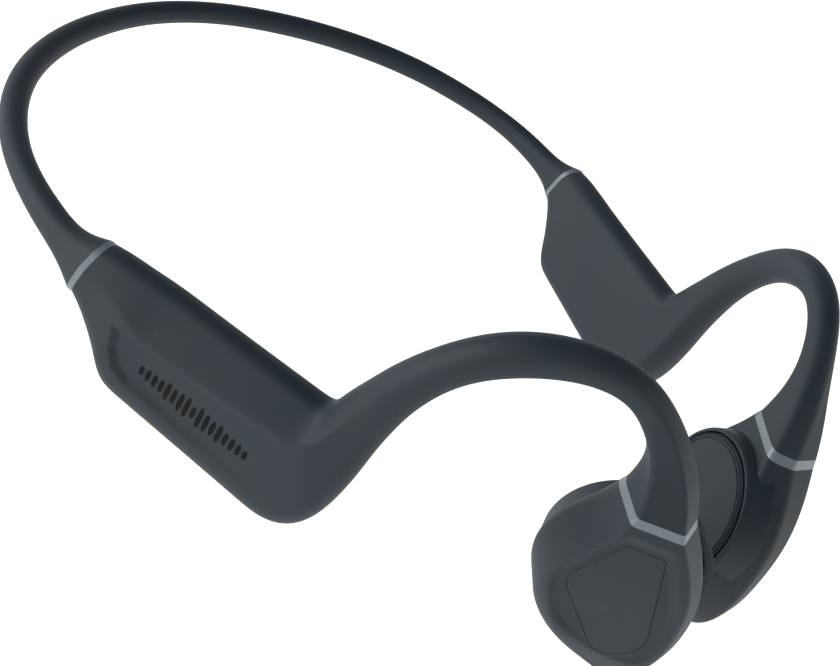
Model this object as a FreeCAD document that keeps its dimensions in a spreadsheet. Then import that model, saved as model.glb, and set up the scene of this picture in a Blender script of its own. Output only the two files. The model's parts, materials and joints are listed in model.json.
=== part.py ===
"""Bone conduction headphones: a sprung neckband, two electronics pods, two ear hooks and two transducers.

Frame: millimetres, +Z up, the wearer faces -Y, the wearer's right is -X. The pods' undersides rest on Z = 0
and X = 0 is the plane between the two sides. The right side is modelled and the left side is its mirror image.

An arm is described in side view: s runs along the arm from the pod's ring, t is outward from its mid surface
and z is up. In plan the arm runs straight along the pod, bends inward on one arc, and runs straight again.
"""
import FreeCAD, Part
import Sketcher
import math
import os

Vector = FreeCAD.Vector
doc = FreeCAD.newDocument("bone_conduction_headphones")

# ---------------------------------------------------------------------------------------------- dimensions

DIMENSIONS = {
    "PodRingX": 61.9,
    "PodRingY": 12.5,
    "PodToeIn": 18.3,
    "FrontToeIn": 43.8,
    "PadToeIn": 37.0,
    "BendStart": 44.0,
    "BendEnd": 60.0,
    "SkinWall": 0.9,
    "CaseWall": 1.1,
    "FitGap": 0.05,
    "RingWidth": 1.0,
    "HookBore": 1.3,
    "BandBore": 1.2,
    "WireRadius": 0.55,
    "CableRadius": 0.4,
    "ShellWall": 1.2,
    "PadRadius": 11.6,
    "PadThickness": 1.2,
    "GrooveDepth": 0.3,
    "CollarTopRadius": 12.6,
    "CollarBaseRadius": 13.6,
    "CollarHeight": 5.4,
    "CollarBore": 11.9,
    "SurroundInner": 9.6,
    "SurroundThickness": 0.3,
    "CupRadius": 8.6,
    "CupDepth": 4.2,
    "CupWall": 1.0,
    "MagnetRadius": 5.4,
    "MagnetHeight": 2.4,
    "CoilInner": 6.0,
    "CoilOuter": 7.0,
    "CoilHeight": 2.3,
    "FlexureRadius": 8.4,
    "FlexureThickness": 0.25,
    "ButtonTravel": 0.4,
    "ButtonLength": 6.4,
    "ButtonWidth": 2.8,
    "ButtonHeight": 2.1,
    "ButtonClearance": 0.25,
    "ButtonFloor": 0.35,
    "ButtonPitch": 8.6,
    "SwitchLength": 3.0,
    "SwitchWidth": 2.4,
    "SwitchHeight": 0.6,
    "BoardLength": 26.0,
    "BoardHeight": 12.0,
    "BoardThickness": 0.8,
    "ChipSide": 5.0,
    "ChipThickness": 0.8,
    "CellLength": 25.0,
    "CellHeight": 11.1,
    "CellThickness": 3.6,
    "FoamThickness": 0.5,
    "ContactRadius": 0.8,
    "ContactLength": 2.6,
    "ContactPitch": 3.0,
    "DockMagnetLength": 2.0,
    "DockMagnetRadius": 1.1,
    "ScrewRadius": 0.6,
    "ScrewHeadRadius": 1.1,
    "ScrewHeadHeight": 0.55,
    "ScrewLength": 4.2,
    "BossRadius": 1.5,
    "MicLength": 2.6,
    "MicWidth": 1.8,
    "MicHeight": 0.9,
    "PipeRadius": 0.7,
    "AntennaLength": 20.0,
    "AntennaWidth": 1.6,
    "AntennaThickness": 0.3,
    "CapThickness": 1.1,
    "CapClearance": 0.25,
    "CapFloor": 4.9,
}

sheet = doc.addObject("Spreadsheet::Sheet", "sheet")
for row, (alias, value) in enumerate(DIMENSIONS.items(), start=1):
    sheet.set(f"A{row}", alias)
    sheet.set(f"B{row}", str(value))
    sheet.setAlias(f"B{row}", alias)
doc.recompute()


def size(alias):
    """A driving dimension, read back from the sheet."""
    return float(sheet.get(alias))


# ------------------------------------------------------------------------------------- the arm's side surface

POD_TOE = math.radians(size("PodToeIn"))
FRONT_TOE = math.radians(size("FrontToeIn"))
BEND_START = size("BendStart")
BEND_END = size("BendEnd")
BEND_RADIUS = (BEND_END - BEND_START) / (FRONT_TOE - POD_TOE)


def toe_in(s):
    """The arm's heading in plan at s, as an angle inward from straight ahead."""
    share = min(max((s - BEND_START) / (BEND_END - BEND_START), 0.0), 1.0)
    return POD_TOE + (FRONT_TOE - POD_TOE) * share


def side_point(s, t, z):
    """The point of the right arm at s along it, t outward and z up."""
    angle = toe_in(s)
    straight = min(s, BEND_START)
    x = -size("PodRingX") + straight * math.sin(POD_TOE)
    y = size("PodRingY") - straight * math.cos(POD_TOE)
    x += BEND_RADIUS * (math.cos(POD_TOE) - math.cos(angle))
    y -= BEND_RADIUS * (math.sin(angle) - math.sin(POD_TOE))
    beyond = max(s - BEND_END, 0.0)
    x += beyond * math.sin(FRONT_TOE)
    y -= beyond * math.cos(FRONT_TOE)
    return Vector(x - t * math.cos(angle), y - t * math.sin(angle), z)


# Stations of the arm: the lower and the upper edge of each cross-section as (s, z). They fan round the notch
# behind the ear, cross the hook, and end below the transducer.
ARM_STATIONS = [
    ((0.3, 10.2), (1.7, 20.6)),
    ((2.0, 9.1), (4.5, 21.2)),
    ((4.1, 7.3), (7.5, 21.4)),
    ((7.0, 4.5), (10.5, 21.7)),
    ((9.2, 1.5), (13.0, 21.9)),
    ((11.4, -0.1), (15.5, 22.1)),
    ((15.0, -0.1), (18.5, 22.3)),
    ((22.0, -0.1), (24.0, 22.7)),
    ((30.0, -0.1), (31.0, 23.2)),
    ((37.5, -0.1), (36.5, 23.6)),
    ((43.7, -0.2), (39.6, 23.8)),
    ((47.7, 2.6), (41.0, 24.0)),
    ((49.7, 7.1), (41.8, 24.5)),
    ((50.5, 12.1), (42.3, 25.7)),
    ((50.9, 17.5), (42.7, 27.3)),
    ((50.9, 23.2), (43.3, 29.5)),
    ((51.3, 28.7), (44.3, 32.3)),
    ((52.1, 34.2), (45.9, 37.1)),
    ((54.2, 40.1), (48.7, 42.9)),
    ((57.3, 44.5), (52.8, 48.9)),
    ((61.8, 47.8), (58.4, 53.3)),
    ((66.6, 49.9), (65.0, 55.6)),
    ((71.3, 50.8), (71.6, 56.0)),
    ((76.2, 49.8), (78.3, 54.4)),
    ((80.2, 47.1), (84.6, 50.3)),
    ((82.6, 43.3), (89.7, 45.7)),
    ((83.3, 39.8), (93.1, 41.2)),
    ((83.3, 36.8), (95.0, 37.2)),
]
HEAD_STATIONS = [
    ((83.0, 35.4), (95.9, 35.8)),
    ((82.6, 31.6), (99.4, 32.8)),
    ((80.4, 27.2), (103.2, 28.4)),
    ((79.2, 22.7), (105.8, 23.4)),
    ((79.7, 18.2), (107.4, 18.3)),
    ((81.8, 13.9), (108.2, 13.0)),
    ((85.4, 10.0), (107.8, 8.3)),
    ((90.1, 6.6), (106.4, 5.2)),
    ((94.6, 4.8), (104.6, 4.0)),
    ((98.2, 4.0), (102.2, 3.7)),
]

# How the cross-section changes along the arm's middle line, as (distance, value).
OUTER_T = [(0, 3.5), (12, 5.0), (44, 5.0), (60, 3.8), (76, 3.0), (98, 2.6), (107, 2.2), (114, 2.8),
           (119, 4.2), (123, 5.9), (129, 6.9), (136, 7.3), (150, 7.1), (160, 4.6)]
INNER_T = [(0, 3.6), (12, 4.4), (44, 4.4), (60, 3.6), (76, 2.9), (110, 2.9), (123, 3.5), (132, 4.6),
           (152, 4.4), (160, 2.0)]
CREASE_HEIGHT = [(0, 0.66), (12, 0.69), (44, 0.78), (60, 0.72), (112, 0.71), (123, 0.84), (140, 0.90),
                 (152, 0.88), (160, 0.78)]
TOP_SPLIT = [(0, 0.40), (12, 0.16), (44, 0.20), (60, 0.40), (112, 0.41), (123, 0.38), (140, 0.50), (160, 0.50)]
LOW_INNER_R = [(0, 3.5), (12, 3.4), (44, 3.4), (60, 3.4), (76, 2.9), (123, 3.0), (160, 2.0)]
LOW_OUTER_R = [(0, 3.5), (12, 5.4), (44, 5.4), (60, 3.6), (76, 2.9), (106, 2.6), (118, 0.9), (132, 1.2), (148, 5.0),
               (160, 4.0)]
CREASE_R = [(0, 3.4), (12, 1.6), (44, 1.6), (60, 2.6), (76, 2.9), (106, 2.6), (118, 0.9), (132, 1.2), (150, 2.2), (160, 3.0)]
TOP_R = [(0, 3.4), (12, 3.0), (60, 2.9), (112, 2.9), (123, 2.6), (160, 2.0)]
HIGH_INNER_R = [(0, 3.5), (12, 3.6), (60, 3.2), (76, 2.9), (110, 2.9), (123, 1.6), (160, 2.0)]

# How far the lower outer edge is set up from the section's foot.
LOW_LIFT = [(114, 0.0), (122, 0.8), (130, 2.4), (138, 1.9), (150, 0.0)]

ARC_POINTS = 6
EDGE_POINTS = 2


def along(keys, distance):
    """The value at a distance, eased between the two keys around it."""
    if distance <= keys[0][0]:
        return keys[0][1]
    for (d0, v0), (d1, v1) in zip(keys, keys[1:]):
        if distance <= d1:
            share = (distance - d0) / (d1 - d0)
            return v0 + (v1 - v0) * share * share * (3 - 2 * share)
    return keys[-1][1]


def middle_distances(stations):
    """Distance of each station along the line through the middles of the stations."""
    middles = [((low[0] + up[0]) / 2, (low[1] + up[1]) / 2) for low, up in stations]
    distances = [0.0]
    for a, b in zip(middles, middles[1:]):
        distances.append(distances[-1] + math.dist(a, b))
    return distances


def inset_polygon(corners, wall):
    """A convex anticlockwise polygon of (x, y, radius) corners moved inward by a wall."""
    count = len(corners)
    edges = []
    for i in range(count):
        x0, y0, _ = corners[i]
        x1, y1, _ = corners[(i + 1) % count]
        length = math.hypot(x1 - x0, y1 - y0)
        nx, ny = -(y1 - y0) / length, (x1 - x0) / length
        edges.append((nx, ny, nx * x0 + ny * y0 + wall))
    result = []
    for i in range(count):
        a0, b0, c0 = edges[i - 1]
        a1, b1, c1 = edges[i]
        det = a0 * b1 - a1 * b0
        result.append(((c0 * b1 - c1 * b0) / det, (a0 * c1 - a1 * c0) / det, max(corners[i][2] - wall, 0.4)))
    return result


def rounded_outline(corners):
    """Points round a convex polygon whose corners are rounded by their radii."""
    count = len(corners)
    turns, lengths = [], []
    for i in range(count):
        x0, y0, _ = corners[i - 1]
        x1, y1, _ = corners[i]
        x2, y2, _ = corners[(i + 1) % count]
        turn = math.atan2(y2 - y1, x2 - x1) - math.atan2(y1 - y0, x1 - x0)
        turns.append(turn % (2 * math.pi))
        lengths.append(math.hypot(x2 - x1, y2 - y1))
    cuts = [corners[i][2] * math.tan(turns[i] / 2) for i in range(count)]
    scales = []
    for i in range(count):
        before = lengths[i - 1] / (cuts[i - 1] + cuts[i])
        after = lengths[i] / (cuts[i] + cuts[(i + 1) % count])
        scales.append(min(1.0, 0.98 * before, 0.98 * after))
    arcs = []
    for i in range(count):
        x0, y0, _ = corners[i - 1]
        x1, y1, radius = corners[i]
        radius *= scales[i]
        cut = cuts[i] * scales[i]
        start = math.atan2(y1 - y0, x1 - x0)
        cx = x1 - cut * math.cos(start) - radius * math.sin(start)
        cy = y1 - cut * math.sin(start) + radius * math.cos(start)
        arc = []
        for k in range(ARC_POINTS):
            angle = start - math.pi / 2 + turns[i] * k / (ARC_POINTS - 1)
            arc.append((cx + radius * math.cos(angle), cy + radius * math.sin(angle)))
        arcs.append(arc)
    points = []
    for i in range(count):
        points += arcs[i]
        (xa, ya), (xb, yb) = arcs[i][-1], arcs[(i + 1) % count][0]
        for k in range(1, EDGE_POINTS + 1):
            share = k / (EDGE_POINTS + 1)
            points.append((xa + (xb - xa) * share, ya + (yb - ya) * share))
    return points


def arm_section(low, up, distance, wall=0.0):
    """The points of the right arm's cross-section between its lower and upper edge, moved in by a wall."""
    height = math.dist(low, up)
    inner, outer = -along(INNER_T, distance), along(OUTER_T, distance)
    crease = along(CREASE_HEIGHT, distance) * height
    corners = [
        (inner, 0.0, along(LOW_INNER_R, distance)),
        (outer, along(LOW_LIFT, distance), along(LOW_OUTER_R, distance)),
        (outer, crease, along(CREASE_R, distance)),
        (outer * along(TOP_SPLIT, distance), height, along(TOP_R, distance)),
        (inner, height, along(HIGH_INNER_R, distance)),
    ]
    if wall:
        corners = inset_polygon(corners, wall)
    points = []
    for t, q in rounded_outline(corners):
        s = low[0] + (up[0] - low[0]) * q / height
        z = low[1] + (up[1] - low[1]) * q / height
        points.append(side_point(s, t, z))
    return points


def clamped_knots(count, degree=3):
    """Knots and multiplicities of an open uniform B-spline with count poles."""
    spans = count - degree
    return list(range(spans + 1)), [degree + 1] + [1] * (spans - 1) + [degree + 1]


def skin_solid(sections):
    """A closed solid whose side is one B-spline surface over rings of poles, with a flat face at each end."""
    rings, around = len(sections), len(sections[0])
    u_knots, u_mults = clamped_knots(rings)
    v_knots, v_mults = list(range(around + 1)), [1] * (around + 1)
    surface = Part.BSplineSurface()
    surface.buildFromPolesMultsKnots(sections, u_mults, v_mults, u_knots, v_knots, False, True, 3, 3)
    side = surface.toShape()
    caps = []
    for u in (u_knots[0], u_knots[-1]):
        edge = surface.uIso(u).toShape()
        caps.append(Part.Face(Part.Wire([edge])))
    shell = Part.Shell([side] + caps)
    shell.sewShape()
    solid = Part.Solid(shell)
    if solid.Volume < 0:
        solid.reverse()
    return solid


ARM_DISTANCES = middle_distances(ARM_STATIONS + HEAD_STATIONS)


def arm_piece(first, last, wall=0.0):
    """The solid of the arm between two station numbers, moved in by a wall."""
    stations = ARM_STATIONS + HEAD_STATIONS
    sections = [arm_section(*stations[i], ARM_DISTANCES[i], wall) for i in range(first, last + 1)]
    return skin_solid(sections)


# ------------------------------------------------------------------------------------------ solids by position

def pod_place(s, t, z):
    """A placement in the pod: local X forward along the arm, local Y inward, local Z up."""
    turn = FreeCAD.Rotation(Vector(0, 0, 1), size("PodToeIn") - 90)
    return FreeCAD.Placement(side_point(s, t, z), turn)


def inward_place(s, t, z, toe_degrees):
    """A placement whose local Z points inward, square to the arm at a heading, and whose local X points up."""
    angle = math.radians(toe_degrees)
    inward = Vector(math.cos(angle), math.sin(angle), 0)
    turn = FreeCAD.Rotation(Vector(0, 0, 1), Vector(0, 0, 0), inward, "ZXY")
    return FreeCAD.Placement(side_point(s, t, z), turn)


def rounded_wire(corners, place):
    """A closed wire of lines and arcs round (x, y, radius) corners, each point put in space by place."""
    count = len(corners)
    joints = []
    for i in range(count):
        x0, y0, _ = corners[i - 1]
        x1, y1, radius = corners[i]
        x2, y2, _ = corners[(i + 1) % count]
        a0, a1 = math.atan2(y1 - y0, x1 - x0), math.atan2(y2 - y1, x2 - x1)
        turn = (a1 - a0) % (2 * math.pi)
        cut = radius * math.tan(turn / 2)
        cx = x1 - cut * math.cos(a0) - radius * math.sin(a0)
        cy = y1 - cut * math.sin(a0) + radius * math.cos(a0)
        arc = []
        for share in (0.0, 0.5, 1.0):
            angle = a0 - math.pi / 2 + turn * share
            arc.append(place(cx + radius * math.cos(angle), cy + radius * math.sin(angle)))
        joints.append(arc)
    edges = []
    for i in range(count):
        edges.append(Part.Arc(*joints[i]).toShape())
        edges.append(Part.LineSegment(joints[i][2], joints[(i + 1) % count][0]).toShape())
    return Part.Wire(edges)


def side_plate(corners, t_inner, t_outer, inset=0.0):
    """A flat plate seen in side view as a rounded outline of (s, z, radius), from one t to another."""
    if inset:
        corners = inset_polygon(corners, inset)
    wire = rounded_wire(corners, lambda s, z: side_point(s, t_inner, z))
    s = corners[0][0]
    return Part.Face(wire).extrude(side_point(s, t_outer, 0) - side_point(s, t_inner, 0))


def tube(frames, radius, lift=0.0):
    """A round tube through frames of (centre, sideways, up), lifted off the centre line by lift."""
    poles_round = 12
    pole_radius = radius * 3 / (2 + math.cos(2 * math.pi / poles_round))
    rings = []
    for centre, sideways, up in frames:
        ring = []
        for k in range(poles_round):
            angle = 2 * math.pi * k / poles_round
            ring.append(centre + sideways * (pole_radius * math.cos(angle))
                        + up * (lift + pole_radius * math.sin(angle)))
        rings.append(ring)
    return skin_solid(rings)


def arm_frames(first, last):
    """Frames at the middles of the arm's cross-sections between two station numbers."""
    frames = []
    stations = ARM_STATIONS + HEAD_STATIONS
    for i in range(first, last + 1):
        low, up = stations[i]
        t = (along(OUTER_T, ARM_DISTANCES[i]) - along(INNER_T, ARM_DISTANCES[i])) / 2
        s, z = (low[0] + up[0]) / 2, (low[1] + up[1]) / 2
        sideways = side_point(s, t + 1, z) - side_point(s, t, z)
        rise = side_point(up[0], t, up[1]) - side_point(low[0], t, low[1])
        rise.normalize()
        frames.append((side_point(s, t, z), sideways, rise))
    return frames


# The neckband's middle line on the right side, from the ring to the back: (x, y, z, half width, half height).
BAND_STATIONS = [
    (-62.2, 15.6, 15.0, 2.65, 3.6),
    (-62.5, 19.2, 15.0, 2.35, 2.75),
    (-62.5, 24.3, 15.1, 2.3, 2.6),
    (-61.9, 30.5, 15.0, 2.2, 2.35),
    (-60.1, 37.8, 14.6, 2.25, 2.25),
    (-56.6, 45.5, 14.1, 2.3, 2.3),
    (-51.2, 53.5, 13.7, 2.3, 2.35),
    (-43.6, 61.0, 13.1, 2.3, 2.35),
    (-33.6, 67.6, 12.6, 2.3, 2.3),
    (-22.5, 72.4, 12.2, 2.25, 2.25),
    (-11.3, 75.4, 12.0, 2.2, 2.2),
    (0.0, 76.4, 11.9, 2.2, 2.2),
]
BAND_CORNER = 0.97
RING_CENTRE_Z = (ARM_STATIONS[0][0][1] + ARM_STATIONS[0][1][1]) / 2


def mirrored(point):
    return Vector(-point.x, point.y, point.z)


def ring_section(offset):
    """The pod ring's outline, moved along the arm by an offset."""
    low, up = ARM_STATIONS[0]
    return arm_section((low[0] + offset, low[1]), (up[0] + offset, up[1]), 0.0)


def band_section(index):
    """The neckband's cross-section at one of its stations: a rounded shape that ends as the ring's outline."""
    x, y, z, half_width, half_height = BAND_STATIONS[index]
    before = BAND_STATIONS[max(index - 1, 0)]
    if index == len(BAND_STATIONS) - 1:
        forward = Vector(1, 0, 0)
    else:
        after = BAND_STATIONS[index + 1]
        forward = Vector(after[0] - before[0], after[1] - before[1], 0).normalize()
    outward = Vector(-forward.y, forward.x, 0)
    radius = BAND_CORNER * min(half_width, half_height)
    corners = [
        (-half_width, -half_height, radius),
        (half_width, -half_height, radius),
        (half_width, half_height * 0.41, radius),
        (half_width * 0.41, half_height, radius),
        (-half_width, half_height, radius),
    ]
    return [Vector(x, y, z) + outward * a + Vector(0, 0, b) for a, b in rounded_outline(corners)]


def band_sections():
    """All the neckband's cross-sections, from the right ring to the left ring."""
    right = [ring_section(-size("RingWidth"))]
    right += [band_section(i) for i in range(len(BAND_STATIONS))]
    left = []
    for section in reversed(right[:-1]):
        left.append([mirrored(p) for p in section])
    return right + left


def band_frames():
    """Frames along the neckband's middle, which start and end inside the pods."""
    up = Vector(0, 0, 1)
    frames = []
    for s in (7.0, 3.0, 0.0):
        sideways = side_point(s, 1, 0) - side_point(s, 0, 0)
        frames.append((side_point(s, 0, RING_CENTRE_Z), sideways, up))
    for i, (x, y, z, _, _) in enumerate(BAND_STATIONS):
        section = band_section(i)
        outward = section[ARC_POINTS + 2] - section[0]
        outward.z = 0
        frames.append((Vector(x, y, z), outward.normalize(), up))
    other = [(mirrored(c), mirrored(o), u) for c, o, u in reversed(frames[:-1])]
    return frames + other


# ------------------------------------------------------------------------------------------- document objects

exports = []


def feature(name, shape):
    """A Part::Feature that holds a shape made above."""
    obj = doc.addObject("Part::Feature", name)
    obj.Shape = shape
    return obj


def primitive(kind, name, placement, **bound):
    """A Part primitive whose sizes are bound to the sheet."""
    obj = doc.addObject(kind, name)
    for prop, expression in bound.items():
        obj.setExpression(prop, expression)
    obj.Placement = placement
    return obj


def cut(name, base, tool):
    obj = doc.addObject("Part::Cut", name)
    obj.Base = base
    obj.Tool = tool
    return obj


def fuse(name, *shapes):
    obj = doc.addObject("Part::MultiFuse", name)
    obj.Shapes = list(shapes)
    return obj


def group(name, *objects):
    """Separate solids that share one node."""
    obj = doc.addObject("Part::Compound", name)
    obj.Links = list(objects)
    return obj


def keep(obj, label):
    """Name an object's file and list it for export."""
    obj.Label = label
    exports.append(obj)
    return obj


def mirror(obj, name):
    """The left side's copy of a right-side object."""
    copy = doc.addObject("Part::Mirroring", name)
    copy.Source = obj
    copy.Base = Vector(0, 0, 0)
    copy.Normal = Vector(1, 0, 0)
    return copy


def keep_pair(obj, stem):
    """Keep a right-side object and its mirror image."""
    keep(obj, stem + "_right")
    keep(mirror(obj, stem + "_mirror"), stem + "_left")


def origin_plane(body, role):
    for item in body.Origin.OriginFeatures:
        if item.Role == role:
            return item
    raise ValueError(role)


def new_sketch(body, name, role="XY_Plane"):
    sketch = body.newObject("Sketcher::SketchObject", name)
    sketch.AttachmentSupport = [(origin_plane(body, role), "")]
    sketch.MapMode = "FlatFace"
    return sketch


def rectangle_sketch(body, name, width, height):
    """A rectangle centred on the sketch's origin, its sides bound to two expressions."""
    sketch = new_sketch(body, name)
    corners = [Vector(-1, -1, 0), Vector(1, -1, 0), Vector(1, 1, 0), Vector(-1, 1, 0)]
    for i in range(4):
        sketch.addGeometry(Part.LineSegment(corners[i], corners[(i + 1) % 4]), False)
    for i in range(4):
        sketch.addConstraint(Sketcher.Constraint("Coincident", i, 2, (i + 1) % 4, 1))
    for i, way in enumerate(("Horizontal", "Vertical", "Horizontal", "Vertical")):
        sketch.addConstraint(Sketcher.Constraint(way, i))
    sketch.addConstraint(Sketcher.Constraint("Symmetric", 0, 1, 1, 2, -1, 1))
    for i, side, expression in ((0, "width", width), (1, "height", height)):
        number = sketch.addConstraint(Sketcher.Constraint("Distance", i, 2.0))
        sketch.renameConstraint(number, side)
        sketch.setExpression("Constraints." + side, expression)
    return sketch


def circle_sketch(body, name, radius):
    sketch = new_sketch(body, name)
    sketch.addGeometry(Part.Circle(Vector(0, 0, 0), Vector(0, 0, 1), 1.0), False)
    sketch.addConstraint(Sketcher.Constraint("Coincident", 0, 3, -1, 1))
    number = sketch.addConstraint(Sketcher.Constraint("Radius", 0, 1.0))
    sketch.renameConstraint(number, "radius")
    sketch.setExpression("Constraints.radius", radius)
    return sketch


def pad_feature(body, name, sketch, length):
    pad = body.newObject("PartDesign::Pad", name)
    pad.Profile = sketch
    pad.setExpression("Length", length)
    sketch.Visibility = False
    return pad


def slab(name, placement, width, height, thickness, rounding=None):
    """A PartDesign plate, its corners rounded where a radius is given."""
    body = doc.addObject("PartDesign::Body", name)
    sketch = rectangle_sketch(body, name + "_sketch", width, height)
    pad = pad_feature(body, name + "_pad", sketch, thickness)
    if rounding:
        doc.recompute()
        upright = []
        for number, edge in enumerate(pad.Shape.Edges, start=1):
            if abs(edge.tangentAt(edge.FirstParameter).z) > 0.9:
                upright.append(f"Edge{number}")
        fillet = body.newObject("PartDesign::Fillet", name + "_fillet")
        fillet.Base = (pad, upright)
        fillet.setExpression("Radius", rounding)
    body.Placement = placement
    return body


# ---------------------------------------------------------------------------------------------- the neckband

# The thin trim ring is the pod's end outline carried back along the arm by the ring's width.
trim_ring = skin_solid([ring_section(-size("RingWidth") * k / 3) for k in range(3, -1, -1)])
band_bore = tube(band_frames(), size("BandBore"))
band_route = band_frames()[1:-1]
keep(feature("BandSleeve", skin_solid(band_sections()).cut(band_bore)), "neckband_sleeve")
keep(feature("BandWire", tube(band_route, size("WireRadius"), 0.5)), "neckband_wire")
keep(feature("BandCable", tube(band_route, size("CableRadius"), -0.6)), "neckband_cable")
keep_pair(feature("PodRing", trim_ring.cut(band_bore)), "pod_ring")

# ------------------------------------------------------------------------------------------ the pods' shells

LAST_ARM = len(ARM_STATIONS) - 1
POD_FIRST, POD_LAST = 1, 10
ROOM_FIRST, ROOM_LAST = 2, 9
BOTTOM_T = -0.5
BUTTON_S = [16.5 + size("ButtonPitch") * i for i in range(3)]
BUTTON_NAMES = ["volume_down_button", "volume_up_button", "power_button"]
SCREW_PLACES = [(9.4, 15.6), (9.4, 9.6), (35.6, 15.8)]
CONTACT_S, CONTACT_Z = 31.0, 10.5
DOCK_MAGNET_S = [27.0, 35.0]
PIPE_S, PIPE_Z = 12.4, 14.0
MIC_S = BUTTON_S[0] + size("ButtonPitch") / 2
SPLIT_T = 0.3
REACH = 60.0

skin_outer = arm_piece(0, LAST_ARM)
case_outer = arm_piece(POD_FIRST, POD_LAST, size("SkinWall") + size("FitGap"))
case_room = arm_piece(ROOM_FIRST, ROOM_LAST, size("SkinWall") + size("FitGap") + size("CaseWall"))
skin_room = arm_piece(POD_FIRST, POD_LAST, size("SkinWall"))
hook_bore = tube(arm_frames(POD_LAST - 1, LAST_ARM + 2), size("HookBore"))


def pod_box(s0, s1, t0, t1, z0, z1):
    """A box in the pod's directions."""
    box = Part.makeBox(s1 - s0, t1 - t0, z1 - z0)
    box.Placement = pod_place(s0, t1, z0)
    return box


def cross_rod(s, z, t0, t1, radius):
    """A round rod across the pod, from one t to another."""
    start = side_point(s, t0, z)
    return Part.makeCylinder(radius, abs(t1 - t0), start, side_point(s, t1, z) - start)


def control_openings():
    """The holes that the right pod's skin and case have for its buttons, microphone, contacts and light."""
    gap = size("ButtonClearance")
    length, width = size("ButtonLength") + 2 * gap, size("ButtonWidth") + 2 * gap
    holes = []
    for s in BUTTON_S:
        holes.append(pod_box(s - length / 2, s + length / 2, BOTTOM_T - width / 2, BOTTOM_T + width / 2, -2, 2.6))
    holes.append(Part.makeCylinder(0.4, 5, side_point(MIC_S, BOTTOM_T, -2)))
    for lift in (-0.5, 0.5):
        z = CONTACT_Z + lift * size("ContactPitch")
        holes.append(cross_rod(CONTACT_S, z, -6, 0, size("ContactRadius")))
    holes.append(cross_rod(PIPE_S, PIPE_Z, -6, 0, size("PipeRadius")))
    return holes


# The channel pressed into the pod's outer face runs down its rear edge and along its lower edge.
CHANNEL_OUTER = [(8.6, 13.6, 0.5), (11.0, 7.4, 2.0), (14.0, 5.6, 2.0), (40.0, 5.6, 0.3), (39.0, 6.9, 0.3),
                 (15.2, 7.2, 1.5), (12.8, 8.8, 1.5), (10.2, 13.6, 0.5)]


def arm_skin(openings):
    """The soft skin over the pod and the hook."""
    skin = skin_outer.cut(skin_room).cut(hook_bore).cut(band_bore)
    outline = [side_point(s, 5.0 - size("GrooveDepth"), z) for s, z, _ in CHANNEL_OUTER]
    wire = Part.makePolygon(outline + outline[:1])
    skin = skin.cut(Part.Face(wire).extrude(side_point(0, 2, 0) - side_point(0, 0, 0)))
    for hole in openings:
        skin = skin.cut(hole)
    floor = Part.makeBox(400, 400, 10, Vector(-200, -200, -10))
    return skin.cut(floor)


def case_half(outer, openings):
    """One half of the pod's hard case, split along the pod, with its screw bosses."""
    t0, t1 = (SPLIT_T, REACH) if outer else (-REACH, SPLIT_T - size("FitGap"))
    half = case_outer.cut(case_room).common(pod_box(-5, REACH, t0, t1, -5, REACH))
    for s, z in SCREW_PLACES:
        if outer:
            half = half.fuse(cross_rod(s, z, SPLIT_T, 3.2, size("BossRadius")))
            half = half.cut(cross_rod(s, z, -1, 1.9, size("ScrewRadius")))
        else:
            half = half.fuse(cross_rod(s, z, -2.6, SPLIT_T - size("FitGap"), size("BossRadius")))
            half = half.cut(cross_rod(s, z, -4, 2, size("ScrewRadius") + size("FitGap")))
            half = half.cut(cross_rod(s, z, -5, -2.3, size("ScrewHeadRadius") + size("FitGap")))
    for hole in openings + [hook_bore, band_bore]:
        half = half.cut(hole)
    return half.common(case_outer)


openings = control_openings()
keep(feature("SkinRight", arm_skin(openings)), "arm_skin_right")
keep(mirror(feature("SkinPlain", arm_skin([])), "SkinLeft"), "arm_skin_left")
keep(feature("CaseOuterRight", case_half(True, openings)), "pod_case_outer_right")
keep(feature("CaseInnerRight", case_half(False, openings)), "pod_case_inner_right")
keep(mirror(feature("CaseOuterPlain", case_half(True, [])), "CaseOuterLeft"), "pod_case_outer_left")
keep(mirror(feature("CaseInnerPlain", case_half(False, [])), "CaseInnerLeft"), "pod_case_inner_left")

screws = []
for i, (s, z) in enumerate(SCREW_PLACES):
    outward = side_point(s, 1, z) - side_point(s, 0, z)
    turn = FreeCAD.Rotation(Vector(0, 0, 1), outward)
    shaft = primitive("Part::Cylinder", f"Shaft{i}", FreeCAD.Placement(side_point(s, -2.4, z), turn),
                      Radius="sheet.ScrewRadius", Height="sheet.ScrewLength")
    head = primitive("Part::Cylinder", f"Head{i}", FreeCAD.Placement(side_point(s, -2.95, z), turn),
                     Radius="sheet.ScrewHeadRadius", Height="sheet.ScrewHeadHeight")
    screws.append(fuse(f"Screw{i}", shaft, head))
keep_pair(group("CaseScrews", *screws), "case_screws")

# ----------------------------------------------------------------------------------------- the hooks' inside

hook_route = arm_frames(POD_LAST - 1, LAST_ARM + 2)
keep_pair(feature("HookWire", tube(hook_route, size("WireRadius"), 0.55)), "hook_wire")
keep_pair(feature("HookCable", tube(hook_route, size("CableRadius"), -0.6)), "hook_cable")

# ------------------------------------------------------------------------------------- the right pod's inside

BOARD_Z, BOARD_T = 11.0, 0.5
upright = FreeCAD.Rotation(Vector(1, 0, 0), 90)


def upright_place(s, t, z):
    """A pod placement turned so that a plate's width runs forward and its height runs up, thickness outward."""
    place = pod_place(s, t, z)
    return FreeCAD.Placement(place.Base, place.Rotation.multiply(upright))


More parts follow.
